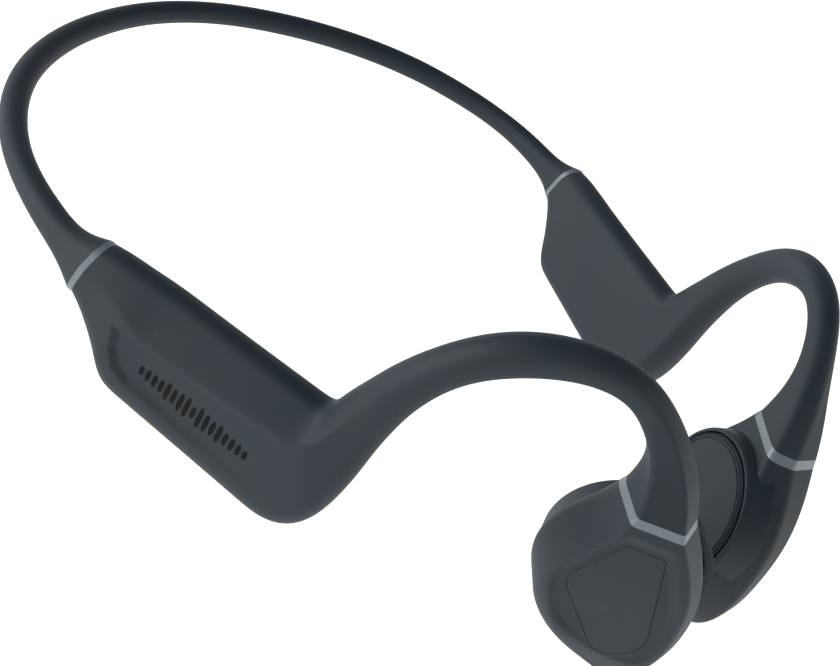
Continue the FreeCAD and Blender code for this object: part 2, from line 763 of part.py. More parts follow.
for i, s in enumerate(BUTTON_S):
    button = slab(f"Button{i}", pod_place(s, BOTTOM_T, size("ButtonFloor")), "sheet.ButtonLength",
                  "sheet.ButtonWidth", "sheet.ButtonHeight", "sheet.ButtonWidth * 0.45")
    keep(button, BUTTON_NAMES[i])
SWITCH_Z = size("ButtonFloor") + size("ButtonHeight") + size("ButtonTravel") + size("FitGap")
switches = []
for i, s in enumerate(BUTTON_S):
    switches.append(primitive("Part::Box", f"Switch{i}", pod_place(s - 1.5, BOTTOM_T + 1.2, SWITCH_Z),
                              Length="sheet.SwitchLength", Width="sheet.SwitchWidth", Height="sheet.SwitchHeight"))
keep(group("Switches", *switches), "button_switches")
FLEX_Z = SWITCH_Z + size("SwitchHeight")
keep(slab("ButtonFlex", pod_place(BUTTON_S[1], BOTTOM_T, FLEX_Z), "sheet.ButtonPitch * 2 + sheet.SwitchLength",
          "sheet.SwitchWidth", "sheet.SurroundThickness"), "button_flex")
keep(slab("MainBoard", upright_place(22.6, BOARD_T, BOARD_Z), "sheet.BoardLength - 4", "sheet.BoardHeight",
          "sheet.BoardThickness"), "main_board")
keep(slab("RadioChip", upright_place(17.5, BOARD_T + size("BoardThickness"), BOARD_Z + 1), "sheet.ChipSide",
          "sheet.ChipSide", "sheet.ChipThickness"), "bluetooth_chip")
keep(slab("PowerChip", upright_place(27.5, BOARD_T + size("BoardThickness"), BOARD_Z - 1), "sheet.ChipSide * 0.7",
          "sheet.ChipSide * 0.7", "sheet.ChipThickness"), "power_chip")
keep(primitive("Part::Box", "Microphone", pod_place(MIC_S - 1.3 / 2, BOTTOM_T + size("MicWidth") / 2, 2.15),
               Length="sheet.MicLength / 2", Width="sheet.MicWidth", Height="sheet.MicHeight"), "microphone")
contacts = []
for i, lift in enumerate((-0.5, 0.5)):
    start = side_point(CONTACT_S, -4.45, CONTACT_Z + lift * size("ContactPitch"))
    turn = FreeCAD.Rotation(Vector(0, 0, 1), side_point(0, 1, 0) - side_point(0, 0, 0))
    contacts.append(primitive("Part::Cylinder", f"Contact{i}", FreeCAD.Placement(start, turn),
                              Radius="sheet.ContactRadius", Height="sheet.ContactLength"))
keep(group("Contacts", *contacts), "charge_contacts")
magnets = []
for i, s in enumerate(DOCK_MAGNET_S):
    magnets.append(primitive("Part::Cylinder", f"DockMagnet{i}",
                             FreeCAD.Placement(side_point(s, -2.25, CONTACT_Z), turn),
                             Radius="sheet.DockMagnetRadius", Height="sheet.DockMagnetLength"))
keep(group("DockMagnets", *magnets), "charge_magnets")
keep(primitive("Part::Cylinder", "LightPipe", FreeCAD.Placement(side_point(PIPE_S, -4.42, PIPE_Z), turn),
               Radius="sheet.PipeRadius", Height="sheet.ContactLength"), "status_light_pipe")
keep(slab("Antenna", pod_place(22.5, -0.9, 18.2), "sheet.AntennaLength", "sheet.AntennaWidth",
          "sheet.AntennaThickness"), "antenna")

# -------------------------------------------------------------------------------------- the left pod's inside

CELL_S, CELL_Z = 22.8, 10.5
CELL_T = 0.2 - size("CellThickness") / 2
cell = slab("Cell", upright_place(CELL_S, CELL_T, CELL_Z), "sheet.CellLength - 4",
            "sheet.CellHeight", "sheet.CellThickness", "1.2")
keep(mirror(cell, "CellLeft"), "battery_cell")
foam = slab("Foam", upright_place(CELL_S, CELL_T - size("FoamThickness"), CELL_Z),
            "sheet.CellLength - 6", "sheet.CellHeight - 2", "sheet.FoamThickness")
keep(mirror(foam, "FoamLeft"), "battery_foam")
guard = primitive("Part::Box", "Guard", pod_place(33.4, 1.4, BOARD_Z - 4), Length="sheet.BoardThickness",
                  Width="sheet.CellThickness - 0.8", Height="sheet.CellHeight - 4.5")
keep(mirror(guard, "GuardLeft"), "battery_guard_board")

# --------------------------------------------------------------------------------------------- the transducers

PAD_S, PAD_T, PAD_Z = 94.6, -6.8, 21.1
PAD_TOE = size("PadToeIn")
HEAD_FIRST = len(ARM_STATIONS)
HEAD_LAST = HEAD_FIRST + len(HEAD_STATIONS) - 1
DISH_OUTLINE = [(86.4, 33.0, 2.5), (81.0, 21.0, 5.0), (96.1, 6.6, 5.5), (105.0, 12.0, 6.0), (95.1, 33.2, 2.5)]
CAP_INSET = 1.6
pad_frame = inward_place(PAD_S, PAD_T, PAD_Z, PAD_TOE)


def pad_point(depth):
    """The point on the pad's axis at a depth behind the pad's face."""
    return pad_frame.multVec(Vector(0, 0, -depth))


def pad_at(depth):
    return FreeCAD.Placement(pad_point(depth), pad_frame.Rotation)


def neck_ring():
    """The trim ring between the hook and the transducer."""
    above = arm_section(*ARM_STATIONS[-1], ARM_DISTANCES[LAST_ARM])
    below = arm_section(*HEAD_STATIONS[0], ARM_DISTANCES[HEAD_FIRST])
    sections = []
    for k in range(4):
        sections.append([a + (b - a) * (k / 3) for a, b in zip(above, below)])
    return skin_solid(sections)


keep_pair(feature("NeckRing", neck_ring().cut(hook_bore)), "transducer_ring")

axis_in = pad_frame.multVec(Vector(0, 0, 1)) - pad_frame.Base
collar_cone = Part.makeCone(size("CollarBaseRadius"), size("CollarTopRadius"), size("CollarHeight") - 0.3,
                            pad_point(size("CollarHeight")), axis_in)
head_outer = arm_piece(HEAD_FIRST, HEAD_LAST)
head_room = arm_piece(HEAD_FIRST + 1, HEAD_LAST - 1, size("ShellWall"))
cap_hole = side_plate(DISH_OUTLINE, size("CapFloor"), 12, CAP_INSET)
dish = side_plate(DISH_OUTLINE, 6.5, 12, CAP_INSET / 2)
drive_room = Part.makeCylinder(size("CupRadius") + 0.3, 7.6, pad_point(7.6), axis_in)
shell = head_outer.cut(head_room).cut(hook_bore).cut(collar_cone).cut(cap_hole).cut(dish).cut(drive_room)
keep_pair(feature("Shell", shell), "transducer_shell")

cap_back = size("CapFloor") + 0.3
cap = feature("Cap", side_plate(DISH_OUTLINE, cap_back, cap_back + size("CapThickness"),
                                CAP_INSET + size("CapClearance")))
keep(cap, "transducer_cover")
keep(mirror(cap, "CapLeft"), "multifunction_button")

collar_bores = [
    primitive("Part::Cylinder", "CollarMouth", pad_at(1.8), Radius="sheet.CollarBore", Height="4"),
    primitive("Part::Cylinder", "CollarStep", pad_at(3.0), Radius="sheet.CollarBore - 1.3", Height="4"),
    primitive("Part::Cylinder", "CollarRoom", pad_at(8.0), Radius="sheet.CollarBore + 0.2", Height="5.6"),
]
collar_body = feature("CollarBody", collar_cone)
collar = cut("Collar", collar_body, fuse("CollarBores", *collar_bores))
keep_pair(collar, "transducer_collar")

surround = cut("Surround", primitive("Part::Cylinder", "SurroundDisc", pad_at(1.75), Radius="sheet.CollarBore - 0.1",
                                     Height="sheet.SurroundThickness"),
               primitive("Part::Cylinder", "SurroundHole", pad_at(3), Radius="sheet.SurroundInner", Height="4"))
keep_pair(surround, "surround_ring")

pad_disc = primitive("Part::Cylinder", "PadDisc", pad_at(1.2), Radius="sheet.PadRadius", Height="sheet.PadThickness")
pad_post = primitive("Part::Cylinder", "PadPost", pad_at(2.5), Radius="2.5", Height="1.4")
groove_outer = primitive("Part::Cylinder", "GrooveOuter", pad_at(size("GrooveDepth")), Radius="sheet.PadRadius - 0.6",
                         Height="1")
groove_inner = primitive("Part::Cylinder", "GrooveInner", pad_at(1), Radius="sheet.PadRadius - 1.1", Height="3")
groove = cut("PadGroove", groove_outer, groove_inner)
keep_pair(cut("Pad", fuse("PadSolid", pad_disc, pad_post), groove), "contact_pad")

flexure = doc.addObject("PartDesign::Body", "Flexure")
disc = circle_sketch(flexure, "FlexureDisc", "sheet.FlexureRadius")
disc_pad = pad_feature(flexure, "FlexurePad", disc, "sheet.FlexureThickness")
doc.recompute()
window = new_sketch(flexure, "FlexureWindow")
window.addGeometry(Part.Circle(Vector(5.4, 0, 0), Vector(0, 0, 1), 1.0), False)
window.addConstraint(Sketcher.Constraint("PointOnObject", 0, 3, -1))
number = window.addConstraint(Sketcher.Constraint("DistanceX", -1, 1, 0, 3, 5.4))
window.setExpression(f"Constraints[{number}]", "sheet.FlexureRadius * 0.64")
number = window.addConstraint(Sketcher.Constraint("Radius", 0, 1.5))
window.setExpression(f"Constraints[{number}]", "sheet.FlexureRadius * 0.18")
opening = flexure.newObject("PartDesign::Pocket", "FlexureOpening")
opening.Profile = window
opening.Type = "ThroughAll"
opening.Midplane = True
doc.recompute()
pattern = flexure.newObject("PartDesign::PolarPattern", "FlexureOpenings")
pattern.Originals = [opening]
pattern.Axis = (window, ["N_Axis"])
pattern.Angle = 360
pattern.Occurrences = 6
flexure.Tip = pattern
flexure.Placement = pad_at(2.5 + size("FlexureThickness"))
keep_pair(flexure, "flexure_plate")

COIL_DEPTH = 2.5 + size("FlexureThickness") + size("CoilHeight")
coil = cut("Coil", primitive("Part::Cylinder", "CoilBody", pad_at(COIL_DEPTH), Radius="sheet.CoilOuter",
                             Height="sheet.CoilHeight"),
           primitive("Part::Cylinder", "CoilHole", pad_at(COIL_DEPTH + 1), Radius="sheet.CoilInner", Height="6"))
keep_pair(coil, "voice_coil")

CUP_DEPTH = 3.1 + size("CupDepth")
cup = cut("Cup", primitive("Part::Cylinder", "CupBody", pad_at(CUP_DEPTH), Radius="sheet.CupRadius",
                           Height="sheet.CupDepth"),
          primitive("Part::Cylinder", "CupRoom", pad_at(CUP_DEPTH - size("CupWall")),
                    Radius="sheet.CupRadius - sheet.CupWall", Height="6"))
keep_pair(cup, "magnet_cup")
keep_pair(primitive("Part::Cylinder", "DriveMagnet", pad_at(CUP_DEPTH - size("CupWall")),
                    Radius="sheet.MagnetRadius", Height="sheet.MagnetHeight"), "drive_magnet")

CAP_SWITCH_S, CAP_SWITCH_Z = 95.0, 17.0
cap_turn = FreeCAD.Rotation(Vector(0, 0, 1), side_point(CAP_SWITCH_S, 1, 0) - side_point(CAP_SWITCH_S, 0, 0))
cap_switch = primitive("Part::Cylinder", "CapSwitch",
                       FreeCAD.Placement(side_point(CAP_SWITCH_S, 4.25, CAP_SWITCH_Z), cap_turn),
                       Radius="sheet.SwitchWidth / 2", Height="sheet.SwitchHeight")
keep(mirror(cap_switch, "CapSwitchLeft"), "multifunction_switch")
cap_board = primitive("Part::Cylinder", "CapBoard",
                      FreeCAD.Placement(side_point(CAP_SWITCH_S, 3.55, CAP_SWITCH_Z), cap_turn),
                      Radius="sheet.SwitchWidth * 2", Height="0.7")
keep(mirror(cap_board, "CapBoardLeft"), "multifunction_board")

# -------------------------------------------------------------------------------------------- checks and files

doc.recompute()
for obj in doc.Objects:
    if "Invalid" in obj.State or "Error" in obj.State:
        raise RuntimeError(f"{obj.Name} failed: {obj.State}")
os.makedirs("parts", exist_ok=True)
for obj in exports:
    shape = obj.Shape
    if shape.isNull() or not shape.isValid() or not shape.Solids:
        raise RuntimeError(f"{obj.Label} has no sound shape")
    shape.exportStep(os.path.join("parts", obj.Label + ".step"))
print(len(exports), "sub-parts written")
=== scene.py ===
"""The looks of the bone conduction headphones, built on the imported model, in metres in its frame."""
import json
import math

import bmesh
import bpy
import numpy as np
from mathutils import Matrix, Vector


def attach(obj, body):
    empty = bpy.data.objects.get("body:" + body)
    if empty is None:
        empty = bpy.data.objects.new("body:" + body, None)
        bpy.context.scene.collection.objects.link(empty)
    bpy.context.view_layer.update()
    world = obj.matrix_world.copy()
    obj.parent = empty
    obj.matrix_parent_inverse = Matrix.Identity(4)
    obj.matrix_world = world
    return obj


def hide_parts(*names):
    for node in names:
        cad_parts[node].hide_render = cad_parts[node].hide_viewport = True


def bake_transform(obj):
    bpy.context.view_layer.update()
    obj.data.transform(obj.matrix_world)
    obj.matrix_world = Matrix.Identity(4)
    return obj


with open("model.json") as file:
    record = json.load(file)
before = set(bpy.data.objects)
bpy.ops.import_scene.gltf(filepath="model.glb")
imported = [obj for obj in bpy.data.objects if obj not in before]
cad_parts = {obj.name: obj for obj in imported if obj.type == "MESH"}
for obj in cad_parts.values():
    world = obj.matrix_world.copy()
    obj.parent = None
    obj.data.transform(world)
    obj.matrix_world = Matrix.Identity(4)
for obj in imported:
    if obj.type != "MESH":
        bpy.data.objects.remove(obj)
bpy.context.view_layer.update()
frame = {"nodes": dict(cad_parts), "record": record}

MM = 0.001

# ------------------------------------------------------------------------------------------- shader expressions


class Value:
    """A number on a shader socket, to be used in Python expressions."""

    def __init__(self, finish, socket):
        self.finish, self.socket = finish, socket

    def math(self, operation, other, swapped=False):
        """The result of a Math node on this number and another."""
        first, second = (other, self) if swapped else (self, other)
        return self.finish.node("ShaderNodeMath", {"operation": operation}, {0: first, 1: second})

    def __add__(self, other):
        return self.math("ADD", other)

    def __mul__(self, other):
        return self.math("MULTIPLY", other)

    def __rsub__(self, other):
        return self.math("SUBTRACT", other, swapped=True)

    __radd__, __rmul__ = __add__, __mul__


class Finish:
    """A material in the making."""

    def __init__(self, name):
        self.material = bpy.data.materials.new(name)
        self.material.use_nodes = True
        self.tree = self.material.node_tree
        self.shader = self.tree.nodes["Principled BSDF"]
        self.place = self.node("ShaderNodeTexCoord", {}, {}, "Object")

    def node(self, kind, settings, inputs, output=0):
        """Adds a node with its settings and inputs, and gives one of its outputs."""
        made = self.tree.nodes.new(kind)
        for name, value in settings.items():
            setattr(made, name, value)
        for name, value in inputs.items():
            self.put(made.inputs[name], value)
        return Value(self, made.outputs[output])

    def put(self, socket, value):
        """Links a varying value to a socket, or writes a constant on it."""
        if isinstance(value, Value):
            self.tree.links.new(value.socket, socket)
        else:
            socket.default_value = value

    def set(self, **inputs):
        """Sets inputs of the surface shader, with _ for a space in their names."""
        for name, value in inputs.items():
            self.put(self.shader.inputs[name.replace("_", " ")], value)

    def noise(self, scale, detail=3.0, roughness=0.55, place=None):
        """Fractal noise from 0 to 1."""
        inputs = {"Vector": place or self.place, "Scale": scale, "Detail": detail, "Roughness": roughness}
        return self.node("ShaderNodeTexNoise", {}, inputs)

    def cells(self, scale, feature="F1"):
        """A cell pattern: the distance to the nearest cell's middle or edge."""
        return self.node("ShaderNodeTexVoronoi", {"feature": feature}, {"Vector": self.place, "Scale": scale})

    def stretched(self, x, y, z):
        """The object's coordinates scaled by axis, for drawn-out patterns."""
        return self.node("ShaderNodeMapping", {}, {"Vector": self.place, "Scale": (x, y, z)})

    def between(self, mask, low, high):
        """A number eased from low to high where mask goes from 0 to 1."""
        return self.node("ShaderNodeMapRange", {"interpolation_type": "SMOOTHSTEP"},
                         {"Value": mask, "To Min": low, "To Max": high})

    def step(self, mask, low, high):
        """A number eased from 0 to 1 where mask goes from low to high."""
        return self.node("ShaderNodeMapRange", {"interpolation_type": "SMOOTHSTEP"},
                         {"Value": mask, "From Min": low, "From Max": high})

    def blend(self, mask, first, second):
        """A colour between two others."""
        ends = {}
        for name, colour in (("A", first), ("B", second)):
            ends[name] = colour if isinstance(colour, Value) else (*colour, 1.0)
        mixed = self.tree.nodes.new("ShaderNodeMix")
        mixed.data_type = "RGBA"
        self.put(mixed.inputs["Factor"], mask)
        colour_inputs = {s.name: s for s in mixed.inputs if s.type == "RGBA"}
        for name, colour in ends.items():
            self.put(colour_inputs[name], colour)
        return Value(self, next(s for s in mixed.outputs if s.type == "RGBA"))

    def relief(self, height, distance, strength=1.0):
        """Fine relief by bump, with its depth in metres."""
        bump = self.node("ShaderNodeBump", {}, {"Height": height, "Distance": distance, "Strength": strength})
        self.put(self.shader.inputs["Normal"], bump)


def tone(colour, factor):
    """A colour made darker or lighter by a factor."""
    return tuple(c * factor for c in colour)


# ---------------------------------------------------------------------------------------------------- finishes

SLATE = (0.0165, 0.0238, 0.0305)
SLATE_WARM = (0.0192, 0.0250, 0.0298)


def soft_touch(name, base, warm, grain, roughness):
    """A moulded soft-touch surface: slow shade changes, fine grain, faint handling marks and dust specks."""
    look = Finish(name)
    slow = look.noise(38.0, 2.0)
    cloud = look.noise(260.0, 4.0)
    fine = look.noise(grain, 2.0, 0.6)
    pores = look.cells(grain * 0.55)
    dust = look.step(look.noise(2400.0, 1.0), 0.755, 0.80)
    body = look.blend(look.step(slow * 0.65 + cloud * 0.35, 0.38, 0.64), base, warm)
    body = look.blend(fine * 0.22, body, tone(base, 0.55))
    body = look.blend(dust * 0.28, body, (0.16, 0.165, 0.17))
    rubbed = look.step(look.noise(95.0, 5.0, 0.7), 0.60, 0.74)
    look.set(Base_Color=body, Roughness=look.between(rubbed, roughness + 0.05, roughness - 0.07) + fine * 0.06)
    look.set(Specular_IOR_Level=0.30)
    look.relief(fine * 0.7 + pores * 0.3, 0.00003, 0.35)
    return look.material


def satin_trim(name):
    """Light grey satin trim with a very fine brushed texture."""
    look = Finish(name)
    brushed = look.noise(900.0, 3.0, 0.6, look.stretched(1.0, 1.0, 9.0))
    mottled = look.noise(160.0, 2.0)
    body = look.blend(brushed * 0.5 + mottled * 0.3, (0.18, 0.198, 0.208), (0.135, 0.15, 0.158))
    look.set(Base_Color=body, Metallic=0.25, Roughness=look.between(brushed, 0.34, 0.46))
    look.relief(brushed, 0.00001, 0.25)
    return look.material


def drawn_metal(name, colour, roughness, lines=1400.0):
    """A metal with drawn or rolled lines and slight tarnish."""
    look = Finish(name)
    drawn = look.noise(lines, 3.0, 0.65, look.stretched(1.0, 1.0, 12.0))
    tarnish = look.step(look.noise(420.0, 4.0), 0.5, 0.72)
    body = look.blend(tarnish * 0.35 + drawn * 0.2, colour, tone(colour, 0.6))
    look.set(Base_Color=body, Metallic=1.0, Roughness=look.between(drawn, roughness, roughness + 0.14))
    look.relief(drawn, 0.000008, 0.3)
    return look.material


def moulded(name, colour, roughness, grain=2600.0):
    """A hard moulded plastic with spark texture and faint flow marks."""
    look = Finish(name)
    spark = look.noise(grain, 2.0, 0.7)
    flow = look.noise(70.0, 3.0, 0.5, look.stretched(1.0, 3.0, 1.0))
    body = look.blend(flow * 0.5 + spark * 0.2, colour, tone(colour, 0.68))
    look.set(Base_Color=body, Roughness=look.between(spark, roughness - 0.05, roughness + 0.08))
    look.relief(spark, 0.00002, 0.4)
    return look.material


def circuit_board(name):
    """Green solder mask over darker tracks, with tinned pads."""
    look = Finish(name)
    cells = look.cells(620.0, "DISTANCE_TO_EDGE")
    tracks = 1 - look.step(cells, 0.05, 0.09)
    pads = 1 - look.step(look.cells(480.0), 0.16, 0.20)
    body = look.blend(tracks, (0.008, 0.085, 0.036), (0.016, 0.16, 0.065))
    body = look.blend(pads, body, (0.62, 0.60, 0.55))
    look.set(Base_Color=body, Metallic=pads * 0.9, Roughness=look.between(pads, 0.42, 0.28))
    look.relief(tracks + pads, 0.00003, 0.5)
    return look.material


def wound_copper(name):
    """Fine enamelled wire laid side by side, painted darker in the grooves between the turns as painted shade.
    """
    look = Finish(name)
    turns = look.node("ShaderNodeTexWave", {"wave_type": "BANDS", "bands_direction": "X"},
                      {"Vector": look.place, "Scale": 1500.0, "Distortion": 0.4})
    # The same bands as the relief: painted shade in the grooves between turns, lighter copper on their crowns.
    body = look.blend(turns, (0.30, 0.085, 0.03), (0.66, 0.26, 0.11))
    look.set(Base_Color=body, Metallic=0.85, Roughness=look.between(turns, 0.45, 0.28))
    look.relief(turns, 0.00003, 0.6)
    return look.material


def crinkled_foil(name):
    """The pouch of the cell: aluminium laminate with small creases, painted darker in their hollows as painted
    shade.
    """
    look = Finish(name)
    creases = look.noise(330.0, 5.0, 0.7)
    # The crease noise also sets the colour: painted shade darkens the hollows of the creases.
    body = look.blend(creases, (0.46, 0.47, 0.49), (0.66, 0.67, 0.68))
    look.set(Base_Color=body, Metallic=0.8, Roughness=look.between(creases, 0.22, 0.4))
    look.relief(creases, 0.0001, 0.5)
    return look.material


def open_foam(name):
    """Open-cell foam: lighter walls round pores, with painted shade darkening the pores."""
    look = Finish(name)
    pores = look.cells(1500.0)
    # The pores are painted darker than the walls: painted shade inside the pits that the same cells press in.
    body = look.blend(look.step(pores, 0.15, 0.6), (0.018, 0.018, 0.02), (0.085, 0.085, 0.09))
    look.set(Base_Color=body, Roughness=look.between(pores, 0.95, 0.8))
    look.relief(pores, 0.0002, 0.8)
    return look.material


def clear_pipe(name):
    """Clear moulded plastic with a slightly hazy body."""
    look = Finish(name)
    haze = look.noise(800.0, 3.0)
    look.set(Base_Color=look.blend(haze, (0.80, 0.83, 0.85), (0.62, 0.66, 0.69)))
    look.set(Roughness=look.between(haze, 0.12, 0.28), Transmission_Weight=0.55, IOR=1.5)
    return look.material


def printed_mark(name):
    """Dark printed ink, slightly worn through at places."""
    look = Finish(name)
    speckle = look.noise(2600.0, 3.0)
    body = look.blend(look.step(speckle, 0.66, 0.76) * 0.2, (0.0020, 0.0022, 0.0024), SLATE)
    look.set(Base_Color=body, Roughness=look.between(speckle, 0.5, 0.65), Specular_IOR_Level=0.12)
    look.relief(speckle, 0.000008, 0.4)
    return look.material


skin_look = soft_touch("soft_slate_skin", SLATE, SLATE_WARM, 5200.0, 0.52)
band_look = soft_touch("soft_slate_band", tone(SLATE, 0.97), SLATE_WARM, 4300.0, 0.55)
housing_look = soft_touch("slate_housing", SLATE, tone(SLATE_WARM, 1.03), 6400.0, 0.48)
cover_look = soft_touch("slate_cover", tone(SLATE, 1.02), tone(SLATE_WARM, 1.04), 7000.0, 0.46)
pad_look = soft_touch("slate_silicone", tone(SLATE, 1.05), SLATE_WARM, 3600.0, 0.60)
button_look = soft_touch("slate_buttons", tone(SLATE, 0.85), tone(SLATE_WARM, 0.9), 6000.0, 0.45)
trim_look = satin_trim("satin_grey_trim")
mark_look = printed_mark("dark_printed_mark")
looks = {
    "sleeve": band_look, "skin": skin_look, "trim": trim_look, "housing": housing_look, "pad": pad_look,
    "button": button_look, "case": moulded("dark_case_plastic", (0.012, 0.012, 0.014), 0.5),
    "spring_wire": drawn_metal("spring_wire", (0.56, 0.55, 0.53), 0.28),
    "cable": moulded("cable_jacket", (0.014, 0.014, 0.015), 0.55, 5000.0),
    "board": circuit_board("circuit_board"), "chip": moulded("chip_package", (0.010, 0.010, 0.011), 0.38),
    "flex": moulded("polyimide_film", (0.36, 0.15, 0.025), 0.3), "cell": crinkled_foil("cell_pouch"),
    "foam": open_foam("black_foam"), "gold": drawn_metal("gold_plating", (0.83, 0.58, 0.24), 0.22),
    "light": clear_pipe("clear_light_pipe"), "screw": drawn_metal("blackened_steel", (0.16, 0.16, 0.17), 0.35),
    "magnet": drawn_metal("nickel_plating", (0.60, 0.59, 0.56), 0.2), "copper": wound_copper("voice_coil_wire"),
    "spring_plate": drawn_metal("rolled_steel", (0.62, 0.62, 0.62), 0.25),
}
slots = {part["node"]: part["material_slot"] for part in frame["record"]["subparts"]}
for name, node in frame["nodes"].items():
    node.data.materials.clear()
    node.data.materials.append(looks[slots[name]])

# ----------------------------------------------------------------------------------- the arm's surface, in mm

POD_TOE, FRONT_TOE, PAD_TOE = (math.radians(a) for a in (18.3, 43.8, 37.0))
RING_X, RING_Y = 61.9, 12.5
BEND_START, BEND_END = 44.0, 60.0
BEND_RADIUS = (BEND_END - BEND_START) / (FRONT_TOE - POD_TOE)


def side_point(s, t, z):
    """The right arm's point at s along it, t outward and z up."""
    angle = POD_TOE + (FRONT_TOE - POD_TOE) * min(max((s - BEND_START) / (BEND_END - BEND_START), 0.0), 1.0)
    straight, beyond = min(s, BEND_START), max(s - BEND_END, 0.0)
    x = -RING_X + straight * math.sin(POD_TOE) + BEND_RADIUS * (math.cos(POD_TOE) - math.cos(angle))
    y = RING_Y - straight * math.cos(POD_TOE) - BEND_RADIUS * (math.sin(angle) - math.sin(POD_TOE))
    x += beyond * math.sin(FRONT_TOE) - t * math.cos(angle)
    y -= beyond * math.cos(FRONT_TOE) + t * math.sin(angle)
    return (x, y, z)


def side_axes(s):
    """Where s, t and z start and point on the arm's straight stretch that holds s."""
    toe, start = (POD_TOE, 0.0) if s < BEND_END else (FRONT_TOE, BEND_END)
    forward = np.array([math.sin(toe), -math.cos(toe), 0.0])
    outward = np.array([-math.cos(toe), -math.sin(toe), 0.0])
    return np.array(side_point(start, 0.0, 0.0)) - forward * start, forward, outward


ARM_STATIONS = [
    ((0.3, 10.2), (1.7, 20.6)), ((2.0, 9.1), (4.5, 21.2)), ((4.1, 7.3), (7.5, 21.4)), ((7.0, 4.5), (10.5, 21.7)),
    ((9.2, 1.5), (13.0, 21.9)), ((11.4, -0.1), (15.5, 22.1)), ((15.0, -0.1), (18.5, 22.3)),
    ((22.0, -0.1), (24.0, 22.7)), ((30.0, -0.1), (31.0, 23.2)), ((37.5, -0.1), (36.5, 23.6)),
    ((43.7, -0.2), (39.6, 23.8)), ((47.7, 2.6), (41.0, 24.0)), ((49.7, 7.1), (41.8, 24.5)),
    ((50.5, 12.1), (42.3, 25.7)), ((50.9, 17.5), (42.7, 27.3)), ((50.9, 23.2), (43.3, 29.5)),
    ((51.3, 28.7), (44.3, 32.3)), ((52.1, 34.2), (45.9, 37.1)), ((54.2, 40.1), (48.7, 42.9)),
    ((57.3, 44.5), (52.8, 48.9)), ((61.8, 47.8), (58.4, 53.3)), ((66.6, 49.9), (65.0, 55.6)),
    ((71.3, 50.8), (71.6, 56.0)), ((76.2, 49.8), (78.3, 54.4)), ((80.2, 47.1), (84.6, 50.3)),
    ((82.6, 43.3), (89.7, 45.7)), ((83.3, 39.8), (93.6, 41.4)), ((83.3, 36.8), (95.8, 37.5)),
]
HEAD_STATIONS = [
    ((83.0, 35.4), (96.7, 36.1)), ((82.6, 31.6), (99.8, 32.9)), ((80.4, 27.2), (103.2, 28.4)),
    ((79.2, 22.7), (105.8, 23.4)), ((79.7, 18.2), (107.4, 18.3)), ((81.8, 13.9), (108.2, 13.0)),
    ((85.4, 10.0), (107.8, 8.3)), ((90.1, 6.6), (106.4, 5.2)), ((94.6, 4.8), (104.6, 4.0)),
    ((98.2, 4.0), (102.2, 3.7)),
]
# How the cross-section changes along the arm's middle line, as (distance, value).
OUTER_T = [(0, 3.5), (12, 5.0), (44, 5.0), (60, 3.8), (76, 3.0), (98, 2.6), (107, 2.2), (114, 2.8),
           (119, 4.2), (123, 5.9), (129, 6.9), (136, 7.3), (150, 7.1), (160, 4.6)]
INNER_T = [(0, 3.6), (12, 4.4), (44, 4.4), (60, 3.6), (76, 2.9), (110, 2.9), (123, 3.5), (132, 4.6),
           (152, 4.4), (160, 2.0)]
CREASE_HEIGHT = [(0, 0.66), (12, 0.69), (44, 0.78), (60, 0.72), (112, 0.71), (123, 0.78), (136, 0.89),
                 (152, 0.88), (160, 0.78)]
TOP_SPLIT = [(0, 0.40), (12, 0.16), (44, 0.20), (60, 0.40), (112, 0.35), (123, 0.18), (138, 0.50),
             (160, 0.50)]
LOW_INNER_R = [(0, 3.5), (12, 3.4), (44, 3.4), (60, 3.4), (76, 2.9), (123, 3.0), (160, 2.0)]
LOW_OUTER_R = [(0, 3.5), (12, 5.4), (44, 5.4), (60, 3.6), (76, 2.9), (104, 2.6), (114, 0.9), (132, 0.8),
               (142, 2.0), (150, 4.5), (160, 4.0)]
CREASE_R = [(0, 3.4), (12, 1.6), (44, 1.6), (60, 2.6), (76, 2.9), (104, 2.6), (114, 0.8),
            (132, 1.0), (150, 2.2), (160, 3.0)]
TOP_R = [(0, 3.4), (12, 3.0), (60, 2.9), (112, 2.9), (123, 2.6), (160, 2.0)]
HIGH_INNER_R = [(0, 3.5), (12, 3.6), (60, 3.2), (76, 2.9), (110, 2.9), (123, 1.6), (160, 2.0)]
BAND_STATIONS = [
    (-62.2, 15.6, 15.0, 2.65, 3.6), (-62.5, 19.2, 15.0, 2.35, 2.75), (-62.5, 24.3, 15.1, 2.3, 2.6),
    (-61.9, 30.5, 15.0, 2.2, 2.35), (-60.1, 37.8, 14.6, 2.25, 2.25), (-56.6, 45.5, 14.1, 2.3, 2.3),
    (-51.2, 53.5, 13.7, 2.3, 2.35), (-43.6, 61.0, 13.1, 2.3, 2.35), (-33.6, 67.6, 12.6, 2.3, 2.3),
    (-22.5, 72.4, 12.2, 2.25, 2.25), (-11.3, 75.4, 12.0, 2.2, 2.2), (0.0, 76.4, 11.9, 2.2, 2.2),
]
BAND_CORNER = 0.97
RING_WIDTH = 1.0
# How far the lower outer edge is set up from the section's foot.
LOW_LIFT = [(110, 0.0), (118, 1.3), (123, 2.0), (131, 2.8), (140, 2.2), (150, 0.4), (154, 0.0)]

ARC_POINTS, EDGE_POINTS = 6, 2


def along(keys, distance):
    """The value at a distance, eased between the two keys around it."""
    if distance <= keys[0][0]:
        return keys[0][1]
    for (d0, v0), (d1, v1) in zip(keys, keys[1:]):
        if distance <= d1:
            share = (distance - d0) / (d1 - d0)
            return v0 + (v1 - v0) * share * share * (3 - 2 * share)
    return keys[-1][1]


def middle_distances(stations):
    """How far along the arm's middle line each station lies."""
    middles = [((low[0] + up[0]) / 2, (low[1] + up[1]) / 2) for low, up in stations]
    distances = [0.0]
    for a, b in zip(middles, middles[1:]):
        distances.append(distances[-1] + math.dist(a, b))
    return distances


